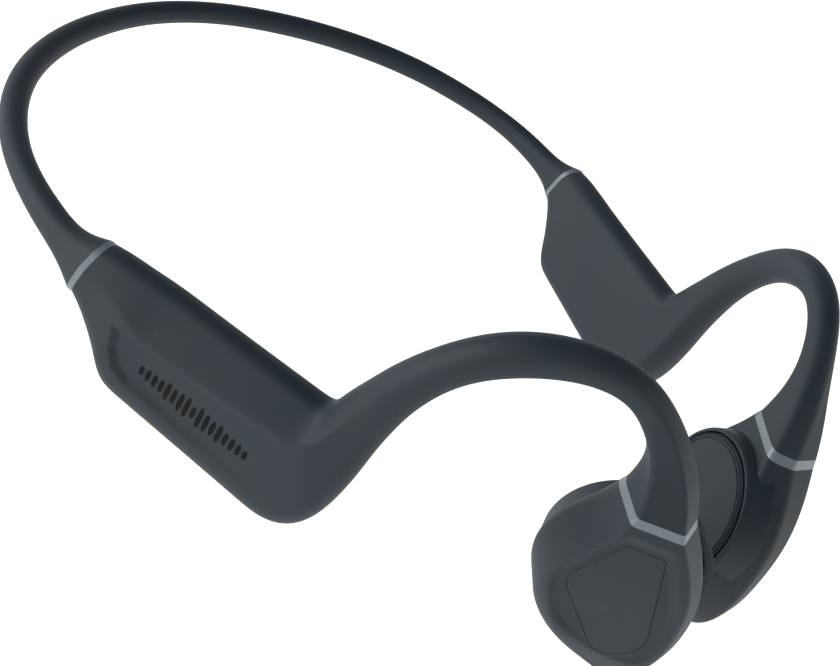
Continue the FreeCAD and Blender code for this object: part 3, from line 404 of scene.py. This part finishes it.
def rounded_outline(corners, arc_points=ARC_POINTS, edge_points=EDGE_POINTS):
    """Points round a convex polygon whose corners are rounded by their radii."""
    count = len(corners)
    turns, lengths = [], []
    for i in range(count):
        (x0, y0, _), (x1, y1, _), (x2, y2, _) = corners[i - 1], corners[i], corners[(i + 1) % count]
        turns.append((math.atan2(y2 - y1, x2 - x1) - math.atan2(y1 - y0, x1 - x0)) % (2 * math.pi))
        lengths.append(math.hypot(x2 - x1, y2 - y1))
    cuts = [corners[i][2] * math.tan(turns[i] / 2) for i in range(count)]
    arcs = []
    for i in range(count):
        before = lengths[i - 1] / (cuts[i - 1] + cuts[i])
        after = lengths[i] / (cuts[i] + cuts[(i + 1) % count])
        scale = min(1.0, 0.98 * before, 0.98 * after)
        (x0, y0, _), (x1, y1, radius) = corners[i - 1], corners[i]
        radius, cut, start = radius * scale, cuts[i] * scale, math.atan2(y1 - y0, x1 - x0)
        cx = x1 - cut * math.cos(start) - radius * math.sin(start)
        cy = y1 - cut * math.sin(start) + radius * math.cos(start)
        angles = [start - math.pi / 2 + turns[i] * k / (arc_points - 1) for k in range(arc_points)]
        arcs.append([(cx + radius * math.cos(a), cy + radius * math.sin(a)) for a in angles])
    points = []
    for i in range(count):
        points += arcs[i]
        (xa, ya), (xb, yb) = arcs[i][-1], arcs[(i + 1) % count][0]
        for k in range(1, edge_points + 1):
            share = k / (edge_points + 1)
            points.append((xa + (xb - xa) * share, ya + (yb - ya) * share))
    return points


def arm_section(low, up, distance):
    """The right arm's cross-section between its lower and upper edge."""
    height = math.dist(low, up)
    inner, outer = -along(INNER_T, distance), along(OUTER_T, distance)
    corners = [
        (inner, 0.0, along(LOW_INNER_R, distance)),
        (outer, along(LOW_LIFT, distance), along(LOW_OUTER_R, distance)),
        (outer, along(CREASE_HEIGHT, distance) * height, along(CREASE_R, distance)),
        (outer * along(TOP_SPLIT, distance), height, along(TOP_R, distance)),
        (inner, height, along(HIGH_INNER_R, distance)),
    ]
    points = []
    for t, q in rounded_outline(corners):
        share = q / height
        points.append(side_point(low[0] + (up[0] - low[0]) * share, t, low[1] + (up[1] - low[1]) * share))
    return points


def band_section(index):
    """The neckband's cross-section at one of its stations."""
    x, y, z, half_width, half_height = BAND_STATIONS[index]
    before = BAND_STATIONS[max(index - 1, 0)]
    after = BAND_STATIONS[min(index + 1, len(BAND_STATIONS) - 1)]
    forward = Vector((after[0] - before[0], after[1] - before[1], 0))
    if index == len(BAND_STATIONS) - 1:
        forward = Vector((1, 0, 0))
    forward.normalize()
    outward = Vector((-forward.y, forward.x, 0))
    radius = BAND_CORNER * min(half_width, half_height)
    corners = [(-half_width, -half_height, radius), (half_width, -half_height, radius),
               (half_width, half_height * 0.41, radius), (half_width * 0.41, half_height, radius),
               (-half_width, half_height, radius)]
    return [tuple(Vector((x, y, z)) + outward * a + Vector((0, 0, b))) for a, b in rounded_outline(corners)]


def ring_section(offset):
    """The arm's first cross-section, moved along s."""
    low, up = ARM_STATIONS[0]
    return arm_section((low[0] + offset, low[1]), (up[0] + offset, up[1]), 0.0)


# ----------------------------------------------------------------------------------------- surfaces and meshes

def open_weights(count, values):
    """Weights of the poles of an open cubic B-spline with end knots repeated, one row for each value."""
    knots = np.concatenate([[0] * 3, np.arange(count - 2), [count - 3] * 3]).astype(float)
    values = np.clip(values, 0, count - 3 - 1e-9)
    weights = np.zeros((len(values), len(knots) - 1))
    for i in range(len(knots) - 1):
        weights[:, i] = (values >= knots[i]) & (values < knots[i + 1])
    for degree in (1, 2, 3):
        raised = np.zeros((len(values), weights.shape[1] - 1))
        for i in range(raised.shape[1]):
            rise, fall = knots[i + degree] - knots[i], knots[i + degree + 1] - knots[i + 1]
            if rise:
                raised[:, i] += (values - knots[i]) / rise * weights[:, i]
            if fall:
                raised[:, i] += (knots[i + degree + 1] - values) / fall * weights[:, i + 1]
        weights = raised
    return weights


def closed_weights(count, values):
    """The same for a closed cubic B-spline."""
    weights = np.zeros((len(values), count))
    whole, f = np.floor(values).astype(int), values - np.floor(values)
    shares = ((1 - f) ** 3 / 6, (3 * f ** 3 - 6 * f ** 2 + 4) / 6, (-3 * f ** 3 + 3 * f ** 2 + 3 * f + 1) / 6,
              f ** 3 / 6)
    for k, share in enumerate(shares):
        np.add.at(weights, (np.arange(len(values)), (whole + k - 1) % count), share)
    return weights


def steps(*stretches):
    """Rising values over (start, end, steps per unit) stretches."""
    runs = [np.arange(round((end - start) * density)) / density + start for start, end, density in stretches]
    return np.concatenate(runs + [[stretches[-1][1]]])


def skin_points(sections, u, v):
    """A grid of points on the B-spline surface over rings of poles."""
    poles = np.array(sections)
    return np.einsum("ui,ijk,vj->uvk", open_weights(len(poles), u), poles, closed_weights(poles.shape[1], v))


CRISP_ANGLE = 38.0


def solid_object(name, points, faces, look, smooth_below=CRISP_ANGLE, mirrored=False):
    """A mesh object from points in mm. Its faces are turned outward, and edges over a limit stay crisp."""
    points = np.array(points, float) * MM
    if mirrored:
        points[:, 0] *= -1
    mesh = bpy.data.meshes.new(name)
    mesh.from_pydata(points.tolist(), [], faces)
    made = bmesh.new()
    made.from_mesh(mesh)
    bmesh.ops.remove_doubles(made, verts=made.verts, dist=2e-7)
    bmesh.ops.recalc_face_normals(made, faces=made.faces)
    if made.calc_volume(signed=True) < 0:
        bmesh.ops.reverse_faces(made, faces=made.faces)
    made.to_mesh(mesh)
    made.free()
    mesh.polygons.foreach_set("use_smooth", [True] * len(mesh.polygons))
    mesh.set_sharp_from_angle(angle=math.radians(smooth_below))
    mesh.materials.append(look)
    obj = bpy.data.objects.new(name, mesh)
    bpy.context.scene.collection.objects.link(obj)
    return obj


def grid_faces(rows, columns, closed_rows=False):
    """Quads of a grid of rows that each close on themselves, with the ends capped unless the rows close too."""
    faces = []
    for i in range(rows if closed_rows else rows - 1):
        for j in range(columns):
            a, b = i * columns + j, i * columns + (j + 1) % columns
            c, d = (i + 1) % rows * columns + (j + 1) % columns, (i + 1) % rows * columns + j
            faces.append((a, b, c, d))
    if not closed_rows:
        faces.append(tuple(range(columns - 1, -1, -1)))
        faces.append(tuple((rows - 1) * columns + j for j in range(columns)))
    return faces


def skinned(name, grid, look, mirrored=False):
    """A closed piece from a grid of points: rows of rings, with both ends capped."""
    rows, columns, _ = grid.shape
    return solid_object(name, grid.reshape(-1, 3), grid_faces(rows, columns), look, mirrored=mirrored)


def plain_mesh(obj):
    """Turns what an object's modifiers make into its own mesh."""
    finished = bpy.data.meshes.new_from_object(obj.evaluated_get(bpy.context.evaluated_depsgraph_get()))
    obj.modifiers.clear()
    obj.data = finished
    return obj


def carve(obj, cutters):
    """Cuts solids out of a piece, then removes them."""
    for cutter in cutters:
        cut = obj.modifiers.new("cut", "BOOLEAN")
        cut.object, cut.solver, cut.operation = cutter, "EXACT", "DIFFERENCE"
    plain_mesh(obj)
    for cutter in cutters:
        bpy.data.objects.remove(cutter)
    obj.data.set_sharp_from_angle(angle=math.radians(CRISP_ANGLE))
    return obj


def side_prism(name, outline, t_low, t_high, look, mirrored=False):
    """A prism across the arm over a closed outline of (s, z) points."""
    points = [side_point(s, t, z) for t in (t_low, t_high) for s, z in outline]
    return solid_object(name, points, grid_faces(2, len(outline)), look, mirrored=mirrored)


def cross_rod(name, s, z, t_low, t_high, radius, look, mirrored=False, sides=28):
    """A round rod across the arm, from one t to another."""
    turns = [2 * math.pi * k / sides for k in range(sides)]
    outline = [(s + radius * math.cos(a), z + radius * math.sin(a)) for a in turns]
    return side_prism(name, outline, t_low, t_high, look, mirrored)


def inside_distance(points, outline):
    """How far each (s, z) point lies inside a closed outline, negative outside."""
    outline = np.array(outline)
    ends = np.roll(outline, -1, axis=0)
    nearest = np.full(len(points), np.inf)
    inside = np.zeros(len(points), bool)
    for (x0, y0), (x1, y1) in zip(outline, ends):
        d = np.array([x1 - x0, y1 - y0])
        w = points - (x0, y0)
        share = np.clip((w @ d) / (d @ d), 0, 1)
        nearest = np.minimum(nearest, np.hypot(*(w - share[:, None] * d).T))
        crosses = (points[:, 1] < y0) != (points[:, 1] < y1)
        if y0 != y1:
            inside ^= crosses & (points[:, 0] < x0 + (points[:, 1] - y0) * (x1 - x0) / (y1 - y0))
    return np.where(inside, nearest, -nearest)


def ease(value):
    """0 to 1 with a level start and end."""
    value = np.clip(value, 0, 1)
    return value * value * (3 - 2 * value)


FACE_BLEND = 0.6


def press_in(grid, s_near, depth_at, t_above):
    """Moves the outer face of a grid inward by a depth that depends on s, z and t."""
    origin, forward, outward = side_axes(s_near)
    flat = grid.reshape(-1, 3)
    local = flat - origin
    s, t = local @ forward, local @ outward
    depth = depth_at(np.stack([s, flat[:, 2]], axis=1), t)
    depth *= ease((t - t_above) / FACE_BLEND)
    return (flat - depth[:, None] * outward).reshape(grid.shape)


# ------------------------------------------------------------------------------------------ the arms and rings

SECTION_POLES = 5 * (ARC_POINTS + EDGE_POINTS)
POD_FACE = 5.0
PANEL = [(9.0, 13.9), (10.0, 9.6), (12.0, 6.6), (15.0, 5.7), (26.0, 5.6), (41.0, 5.7), (46.0, 6.2),
         (46.0, 19.0), (40.0, 18.2), (24.0, 15.9), (10.5, 14.1)]
PANEL_WALL = 1.5
PANEL_DEPTH = 0.8
DISH = rounded_outline([(85.8, 33.9, 1.5), (79.8, 21.3, 4.0), (85.8, 12.8, 8.0), (97.0, 7.4, 5.0),
                        (104.6, 9.4, 4.5), (102.4, 22.6, 14.0), (94.3, 34.2, 1.6)], 9, 6)
DISH_WALL = 1.7
DISH_FLOOR, DISH_FALL = 6.3, 0.5
COVER = rounded_outline([(86.4, 33.0, 2.5), (81.0, 21.0, 5.0), (96.1, 6.6, 5.5), (105.0, 12.0, 6.0),
                         (95.1, 33.2, 2.5)], 9, 6)
COVER_INSET = 1.6
COVER_CLEARANCE = 0.06
POCKET_FLOOR = 4.3
BUTTON_S = [16.5, 25.1, 33.7]
BUTTON_T = -0.5
MIC_S = (BUTTON_S[0] + BUTTON_S[1]) / 2
MIC_HOLE = 0.4
CONTACT_S, CONTACT_Z, CONTACT_HOLE = 31.0, 10.5, 0.86
CONTACT_LIFTS = (-1.5, 1.5)
PIPE_S, PIPE_Z, PIPE_HOLE = 12.4, 14.0, 0.72
INNER_HOLE = (-6.0, -2.0)
KEY_TOP, KEY_FACE = 2.45, 0.35
SLOT_TOP = 2.88

arm_sections = [arm_section(low, up, d) for (low, up), d in
                zip(ARM_STATIONS, middle_distances(ARM_STATIONS + HEAD_STATIONS))]
head_sections = [arm_section(low, up, d) for (low, up), d in
                 zip(HEAD_STATIONS, middle_distances(ARM_STATIONS + HEAD_STATIONS)[len(ARM_STATIONS):])]


def panel_depth(points, _=None):
    """The panel is pressed in at its rear and lower edge, and comes up flush at the front and the top."""
    s, z = points[:, 0], points[:, 1]
    fade = ease((44.0 - s) / 30.0) * ease((19.5 - z + (s - 10) * 0.13) / 7.0)
    return PANEL_DEPTH * fade * ease(inside_distance(points, PANEL) / PANEL_WALL)


def dish_floor(z):
    """How far outward the dish's floor lies: level, and a little lower towards the neck."""
    return DISH_FLOOR - DISH_FALL * ease((z - 20.0) / 14.0)


def dish_depth(points, t):
    """The dish is pressed in to its floor, whatever the height of the face round it."""
    return np.maximum(t - dish_floor(points[:, 1]), 0.0) * ease(inside_distance(points, DISH) / DISH_WALL)


arm_grid = skin_points(arm_sections, steps((0, 1, 8), (1, 8, 26), (8, 25, 9)),
                       steps((0, 11, 4), (11, 17, 18), (17, SECTION_POLES, 4))[:-1])
arm_grid = press_in(arm_grid, 20.0, panel_depth, 4.0)
arm_grid[..., 2] = np.maximum(arm_grid[..., 2], 0.0)
head_grid = skin_points(head_sections, steps((0, 7, 20)),
                        steps((0, 11, 6), (11, 18, 22), (18, SECTION_POLES, 9))[:-1])
head_grid = press_in(head_grid, 90.0, dish_depth, 4.6)


def slot_cutter(s):
    """The solid that opens a button's slot in the pod's underside."""
    corners = [(-3.45, -1.65, 1.5), (3.45, -1.65, 1.5), (3.45, 1.65, 1.5), (-3.45, 1.65, 1.5)]
    outline = rounded_outline(corners, 7, 1)
    points = [side_point(s + a, BUTTON_T + b, z) for z in (-2.0, SLOT_TOP) for a, b in outline]
    return solid_object("slot", points, grid_faces(2, len(outline)), skin_look)


def port_cutter(s, radius):
    """The solid that opens a round hole in the pod's underside."""
    turns = [2 * math.pi * k / 20 for k in range(20)]
    points = [side_point(s + radius * math.cos(a), BUTTON_T + radius * math.sin(a), z)
              for z in (-2.0, 1.5) for a in turns]
    return solid_object("port", points, grid_faces(2, 20), skin_look)


for side, flip in (("right", False), ("left", True)):
    body = f"{side}_side"
    skin = skinned(f"{side}_arm_skin", arm_grid, skin_look, flip)
    if side == "right":
        holes = [slot_cutter(s) for s in BUTTON_S] + [port_cutter(MIC_S, MIC_HOLE)]
        holes += [cross_rod("hole", CONTACT_S, CONTACT_Z + lift, *INNER_HOLE, CONTACT_HOLE, skin_look)
                  for lift in CONTACT_LIFTS]
        holes.append(cross_rod("hole", PIPE_S, PIPE_Z, *INNER_HOLE, PIPE_HOLE, skin_look))
        carve(skin, holes)
    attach(skin, body)
    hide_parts(f"arm_skin_{side}")

    sections = [ring_section(-RING_WIDTH * k / 3) for k in (3, 2, 1, 0)]
    ring_grid = skin_points(sections, np.linspace(0, 1, 4), steps((0, SECTION_POLES, 4))[:-1])
    pod_ring = skinned(f"{side}_pod_ring", ring_grid, trim_look, flip)
    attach(pod_ring, body)
    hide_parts(f"pod_ring_{side}")

    first, last = np.array(arm_sections[-1]), np.array(head_sections[0])
    sections = [first + (last - first) * k / 3 for k in range(4)]
    neck_grid = skin_points(sections, np.linspace(0, 1, 4), steps((0, SECTION_POLES, 5))[:-1])
    neck = skinned(f"{side}_neck_ring", neck_grid, trim_look, flip)
    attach(neck, body)
    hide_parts(f"transducer_ring_{side}")

# -------------------------------------------------------------------------------------------- the neckband

right_band = [ring_section(-RING_WIDTH)] + [band_section(i) for i in range(len(BAND_STATIONS))]
left_band = [[(-x, y, z) for x, y, z in section] for section in reversed(right_band[:-1])]
band_grid = skin_points(right_band + left_band, steps((0, len(right_band + left_band) - 3, 18)),
                        steps((0, SECTION_POLES, 2.5))[:-1])
sleeve = skinned("neckband", band_grid, band_look)


def inner_line(name, lift, radius, look):
    """A round wire that follows the neckband's middle into both pods."""
    middles = [side_point(s, 0, 15.4) for s in (7.0, 3.0, 0.0)]
    middles += [(x, y, z) for x, y, z, _, _ in BAND_STATIONS]
    middles += [(-x, y, z) for x, y, z in reversed(middles[:-1])]
    pole_radius = radius * 1.05
    sections = []
    for i, centre in enumerate(middles[1:-1], start=1):
        run = Vector(middles[i + 1]) - Vector(middles[i - 1])
        across = run.cross(Vector((0, 0, 1))).normalized()
        turns = [2 * math.pi * k / 12 for k in range(12)]
        ring = [Vector(centre) + across * math.cos(a) * pole_radius
                + Vector((0, 0, lift + math.sin(a) * pole_radius)) for a in turns]
        sections.append([tuple(p) for p in ring])
    grid = skin_points(sections, steps((0, len(sections) - 3, 8)), steps((0, 12, 1))[:-1])
    return skinned(name, grid, look)


wire = inner_line("neckband_core_wire", 0.5, 0.52, looks["spring_wire"])
lead = inner_line("neckband_core_lead", -0.6, 0.38, looks["cable"])
for piece, node, slot in ((sleeve, "neckband_sleeve", "sleeve"), (wire, "neckband_wire", "spring_wire"),
                          (lead, "neckband_cable", "cable")):
    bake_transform(piece)
    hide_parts(node)

# ------------------------------------------------------------------------------------------ the transducers

PAD_CENTRE = Vector(side_point(94.6, -6.8, 21.1))
PAD_IN = Vector((math.cos(PAD_TOE), math.sin(PAD_TOE), 0.0))
PAD_ACROSS = PAD_IN.cross(Vector((0, 0, 1)))


def softened(profile, radius, count=5):
    """A profile of (radius, depth) points with each corner replaced by a small curve."""
    points = []
    for i, corner in enumerate(profile):
        here, before, after = Vector(corner), Vector(profile[i - 1]), Vector(profile[(i + 1) % len(profile)])
        back, on = before - here, after - here
        cut = min(radius, back.length * 0.45, on.length * 0.45)
        start, end = here + back.normalized() * cut, here + on.normalized() * cut
        for k in range(count):
            share = k / (count - 1)
            curve = start * (1 - share) ** 2 + here * 2 * share * (1 - share) + end * share ** 2
            points.append(curve.to_tuple())
    return points


def turned(name, profile, look, radius=0.12, mirrored=False, segments=144):
    """A piece turned about the pad's axis from a closed profile of (radius, depth behind the pad's face)."""
    profile = softened(profile, radius)
    rows = []
    for k in range(segments):
        angle = 2 * math.pi * k / segments
        spoke = PAD_ACROSS * math.cos(angle) + Vector((0, 0, 1)) * math.sin(angle)
        rows.append([tuple(PAD_CENTRE - PAD_IN * d + spoke * max(r, 0.0)) for r, d in profile])
    points = [p for row in rows for p in row]
    faces = grid_faces(segments, len(profile), closed_rows=True)
    return solid_object(name, points, faces, look, mirrored=mirrored)


PAD_PROFILE = [(0.02, 0.06), (5.0, 0.045), (9.9, 0.0), (10.55, 0.0), (10.62, 0.26), (10.82, 0.26), (10.88, 0.0),
               (11.12, 0.02), (11.2, 0.30), (11.36, 0.30), (11.42, 0.12), (11.6, 0.32), (11.6, 1.2), (2.5, 1.2),
               (2.5, 2.5), (0.02, 2.5)]
COLLAR_PROFILE = [(11.9, 1.75), (11.9, 0.55), (12.1, 0.32), (12.42, 0.36), (12.68, 0.85), (12.84, 1.7),
                  (13.08, 2.9), (13.42, 4.4), (13.6, 5.4), (12.1, 5.4), (12.1, 3.0), (10.6, 3.0), (10.6, 1.75)]
WELL_PROFILE = [(0.02, -4.0), (12.3, -4.0), (12.6, 1.0), (13.5, 5.3), (0.02, 5.3)]
# The cover's edge, from its back to the middle of its face, as (depth below the face, inset, scale).
COVER_EDGE = [(1.0, 0.0, 1.0), (0.08, 0.0, 1.0), (0.03, 0.02, 1.0), (0.0, 0.07, 1.0), (0.0, 0.2, 1.0),
              (0.0, 0.2, 0.7), (0.0, 0.2, 0.4), (0.0, 0.2, 0.12)]


def cap_outline(clearance):
    """The cover's outline, moved in from the rim that it is set back from."""
    rim = np.array(COVER)
    run = np.roll(rim, -1, axis=0) - np.roll(rim, 1, axis=0)
    inward = np.stack([-run[:, 1], run[:, 0]], axis=1) / np.hypot(*run.T)[:, None]
    inward *= np.sign(((rim.mean(axis=0) - rim) * inward).sum(axis=1))[:, None]
    return [tuple(p) for p in rim + inward * (COVER_INSET + clearance)]


def cover(name, mirrored):
    """The five-sided cover that lies in the dish: a flat face with a soft edge."""
    outline = np.array(cap_outline(COVER_CLEARANCE))
    centre = outline.mean(axis=0)
    spokes = outline - centre
    reach = np.hypot(*spokes.T)[:, None]
    rows = []
    for drop, inset, scale in COVER_EDGE:
        ring = centre + spokes * scale * (1 - inset / reach)
        rows.append([side_point(s, float(dish_floor(z)) - drop, z) for s, z in ring])
    return skinned(name, np.array(rows), cover_look, mirrored)


for side, flip in (("right", False), ("left", True)):
    body = f"{side}_side"
    shell = skinned(f"{side}_transducer_shell", head_grid, housing_look, flip)
    pocket = side_prism("pocket", cap_outline(0.0), POCKET_FLOOR, 9.0, housing_look, flip)
    well = turned("well", WELL_PROFILE, housing_look, 0.02, flip, 96)
    carve(shell, [pocket, well])
    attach(shell, body)
    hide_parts(f"transducer_shell_{side}")
    collar = turned(f"{side}_collar", COLLAR_PROFILE, housing_look, 0.14, flip)
    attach(collar, body)
    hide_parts(f"transducer_collar_{side}")
    pad = turned(f"{side}_contact_pad", PAD_PROFILE, pad_look, 0.06, flip)
    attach(pad, f"drive_{side}")
    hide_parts(f"contact_pad_{side}")
    if side == "left":
        cap = cover("multifunction_cap", flip)
        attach(cap, "multifunction")
        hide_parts("multifunction_button")
    else:
        cap = cover("fixed_cover", flip)
        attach(cap, body)
        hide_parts("transducer_cover")

# ----------------------------------------------------------------------------------------------- the buttons


def button_piece(name, s, marks):
    """A button with a softened edge and a raised mark on its lower face, made of rounded bars."""
    corners = [(-3.2, -1.4, 1.25), (3.2, -1.4, 1.25), (3.2, 1.4, 1.25), (-3.2, 1.4, 1.25)]
    outline = np.array(rounded_outline(corners, 8, 2))
    rows = []
    for z, inset in ((KEY_TOP, 0.0), (0.62, 0.0), (0.46, 0.05), (0.38, 0.16), (KEY_FACE, 0.34), (KEY_FACE, 0.9)):
        reach = np.hypot(*outline.T)[:, None]
        rows.append([side_point(s + a, BUTTON_T + b, z) for a, b in outline * (1 - inset / reach)])
    points = [p for row in rows for p in row]
    faces = grid_faces(len(rows), len(outline))
    for ds, dt, length, width in marks:
        base = len(points)
        corners = [(-length / 2, -width / 2, width * 0.45), (length / 2, -width / 2, width * 0.45),
                   (length / 2, width / 2, width * 0.45), (-length / 2, width / 2, width * 0.45)]
        rim = rounded_outline(corners, 5, 1)
        for z, scale in ((0.40, 1.0), (0.27, 1.0), (0.22, 0.8)):
            points += [side_point(s + ds + a * scale, BUTTON_T + dt + b * scale, z) for a, b in rim]
        faces += [tuple(base + i for i in face) for face in grid_faces(3, len(rim))]
    return solid_object(name, points, faces, button_look)


BAR = (0.0, 0.0, 1.7, 0.42)
UPRIGHT = (0.0, 0.0, 0.42, 1.5)
RING_MARKS = [(0.0, 0.0, 0.9, 0.9)]
for node, body, s, marks in (("volume_down_button", "volume_down", BUTTON_S[0], [BAR]),
                             ("volume_up_button", "volume_up", BUTTON_S[1], [BAR, UPRIGHT]),
                             ("power_button", "power_button", BUTTON_S[2], RING_MARKS)):
    button = button_piece(node.replace("_button", "_key"), s, marks)
    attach(button, body)
    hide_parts(node)

# ----------------------------------------------------------------------- the printed mark: a row of sound bars

BAR_COUNT = 17
BARS_FIRST, BARS_LAST = (16.4, 9.9), (36.4, 10.9)
BARS_LIFT = 0.04


def sound_bars_tree():
    """Geometry nodes for a row of flat rounded bars whose heights rise and fall like a sound wave."""
    tree = bpy.data.node_groups.new("sound_bars", "GeometryNodeTree")
    tree.interface.new_socket("Geometry", in_out="OUTPUT", socket_type="NodeSocketGeometry")
    sizes = {"Bars": ("NodeSocketInt", BAR_COUNT), "Pitch": ("NodeSocketFloat", 1.3 * MM),
             "Width": ("NodeSocketFloat", 0.8 * MM), "Low": ("NodeSocketFloat", 1.7 * MM),
             "High": ("NodeSocketFloat", 4.2 * MM), "Thickness": ("NodeSocketFloat", 0.05 * MM),
             "Ink": ("NodeSocketMaterial", None)}
    for name, (kind, value) in sizes.items():
        socket = tree.interface.new_socket(name, in_out="INPUT", socket_type=kind)
        if value is not None:
            socket.default_value = value
    given = tree.nodes.new("NodeGroupInput").outputs

    def add(kind, settings, inputs, output=0):
        made = tree.nodes.new(kind)
        for name, value in settings.items():
            setattr(made, name, value)
        for name, value in inputs.items():
            if isinstance(value, bpy.types.NodeSocket):
                tree.links.new(value, made.inputs[name])
            else:
                made.inputs[name].default_value = value
        return made.outputs[output]

    def maths(operation, first, second):
        return add("ShaderNodeMath", {"operation": operation}, {0: first, 1: second})

    step = add("ShaderNodeCombineXYZ", {}, {"X": given["Pitch"]})
    line = add("GeometryNodeMeshLine", {"mode": "OFFSET"}, {"Count": given["Bars"], "Offset": step})
    index = add("GeometryNodeInputIndex", {}, {})
    share = maths("DIVIDE", index, maths("SUBTRACT", given["Bars"], 1.0))
    swell = maths("SINE", maths("MULTIPLY", share, math.pi), 0.0)
    ripple = maths("ABSOLUTE", maths("SINE", maths("MULTIPLY", index, 1.18), 0.0), 0.0)
    wave = maths("MULTIPLY", swell, maths("ADD", maths("MULTIPLY", ripple, 0.75), 0.25))
    height = maths("ADD", given["Low"], maths("MULTIPLY", wave, maths("SUBTRACT", given["High"], given["Low"])))
    scale = add("ShaderNodeCombineXYZ", {}, {"X": given["Width"], "Y": height, "Z": given["Thickness"]})
    bar = add("GeometryNodeMeshCylinder", {}, {"Vertices": 28, "Radius": 0.5, "Depth": 1.0})
    placed = add("GeometryNodeInstanceOnPoints", {}, {"Points": line, "Instance": bar, "Scale": scale})
    real = add("GeometryNodeRealizeInstances", {}, {"Geometry": placed})
    inked = add("GeometryNodeSetMaterial", {}, {"Geometry": real, "Material": given["Ink"]})
    tree.links.new(inked, tree.nodes.new("NodeGroupOutput").inputs[0])
    return tree


def printed_bars(name, first, last, mirrored):
    """The bars laid on the pod's outer face between two (s, z) points, following the pressed-in panel."""
    obj = bpy.data.objects.new(name, bpy.data.meshes.new(name))
    bpy.context.scene.collection.objects.link(obj)
    modifier = obj.modifiers.new("bars", "NODES")
    modifier.node_group = bars_tree
    inputs = {item.name: item.identifier for item in bars_tree.interface.items_tree if item.in_out == "INPUT"}
    modifier[inputs["Pitch"]] = math.dist(first, last) * MM / (BAR_COUNT - 1)
    modifier[inputs["Ink"]] = mark_look
    plain_mesh(obj)
    slope = (Vector(last) - Vector(first)).normalized()
    side = -1 if mirrored else 1
    for vertex in obj.data.vertices:
        along, across, lift = vertex.co / MM
        s = first[0] + along * slope.x - across * slope.y
        z = first[1] + along * slope.y + across * slope.x
        t = POD_FACE + BARS_LIFT + lift - float(panel_depth(np.array([[s, z]]))[0])
        x, y, z = side_point(s, t, z)
        vertex.co = Vector((side * x, y, z)) * MM
    if mirrored:
        obj.data.flip_normals()
    obj.data.polygons.foreach_set("use_smooth", [False] * len(obj.data.polygons))
    return obj


bars_tree = sound_bars_tree()
for side, flip in (("right", False), ("left", True)):
    mark = printed_bars(f"{side}_sound_mark", BARS_FIRST, BARS_LAST, flip)
    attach(mark, f"{side}_side")

# --------------------------------------------------------------------------------- the floor, light and camera

floor_mesh = bpy.data.meshes.new("floor")
floor_mesh.from_pydata([(-4, -4, 0), (4, -4, 0), (4, 4, 0), (-4, 4, 0)], [], [(0, 1, 2, 3)])
floor = bpy.data.objects.new("floor", floor_mesh)
bpy.context.scene.collection.objects.link(floor)
floor_look = Finish("pale_floor")
floor_look.set(Base_Color=(0.95, 0.95, 0.95, 1.0), Roughness=0.9, Specular_IOR_Level=0.1,
               Emission_Color=(1.0, 1.0, 1.0, 1.0), Emission_Strength=0.85)
floor_mesh.materials.append(floor_look.material)

world = bpy.data.worlds.new("studio")
bpy.context.scene.world = world
world.use_nodes = True
sky = world.node_tree
background = sky.nodes["Background"]
direction = sky.nodes.new("ShaderNodeTexCoord")
split = sky.nodes.new("ShaderNodeSeparateXYZ")
ramp = sky.nodes.new("ShaderNodeValToRGB")
sky.links.new(direction.outputs["Generated"], split.inputs[0])
sky.links.new(split.outputs["Z"], ramp.inputs["Fac"])
sky.links.new(ramp.outputs["Color"], background.inputs["Color"])
ramp.color_ramp.elements[0].color = (1.0, 1.0, 1.0, 1.0)
ramp.color_ramp.elements[1].position = 0.85
ramp.color_ramp.elements[1].color = (0.10, 0.14, 0.18, 1.0)
ramp.color_ramp.elements.new(0.26).color = (0.52, 0.59, 0.64, 1.0)
background.inputs["Strength"].default_value = 1.0


def lamp(name, place, target, size, watts):
    """A square area lamp that points at a target."""
    light = bpy.data.lights.new(name, "AREA")
    light.shape, light.size, light.energy = "SQUARE", size, watts
    obj = bpy.data.objects.new(name, light)
    obj.location = place
    obj.rotation_euler = (Vector(target) - Vector(place)).to_track_quat("-Z", "Y").to_euler()
    bpy.context.scene.collection.objects.link(obj)


MIDDLE = (0.0, 0.0, 0.02)
lamp("camera_side", (-0.85, 0.62, 0.20), MIDDLE, 0.8, 12.0)
lamp("right_rim", (0.75, -0.85, 0.30), MIDDLE, 0.6, 2.0)

camera_data = bpy.data.cameras.new("camera")
camera_data.sensor_width, camera_data.lens = 36.0, 55.71
camera = bpy.data.objects.new("camera", camera_data)
bpy.context.scene.collection.objects.link(camera)
right = Vector((0.6546, -0.5925, 0.4696)).normalized()
ahead = Vector((0.7343, 0.3506, -0.5812)).normalized()
above = right.cross(ahead).normalized()
camera.matrix_world = Matrix((right, above, -ahead)).transposed().to_4x4()
camera.location = (-0.17369, -0.09194, 0.14433)
bpy.context.scene.camera = camera
bpy.context.scene.view_settings.view_transform = "Standard"
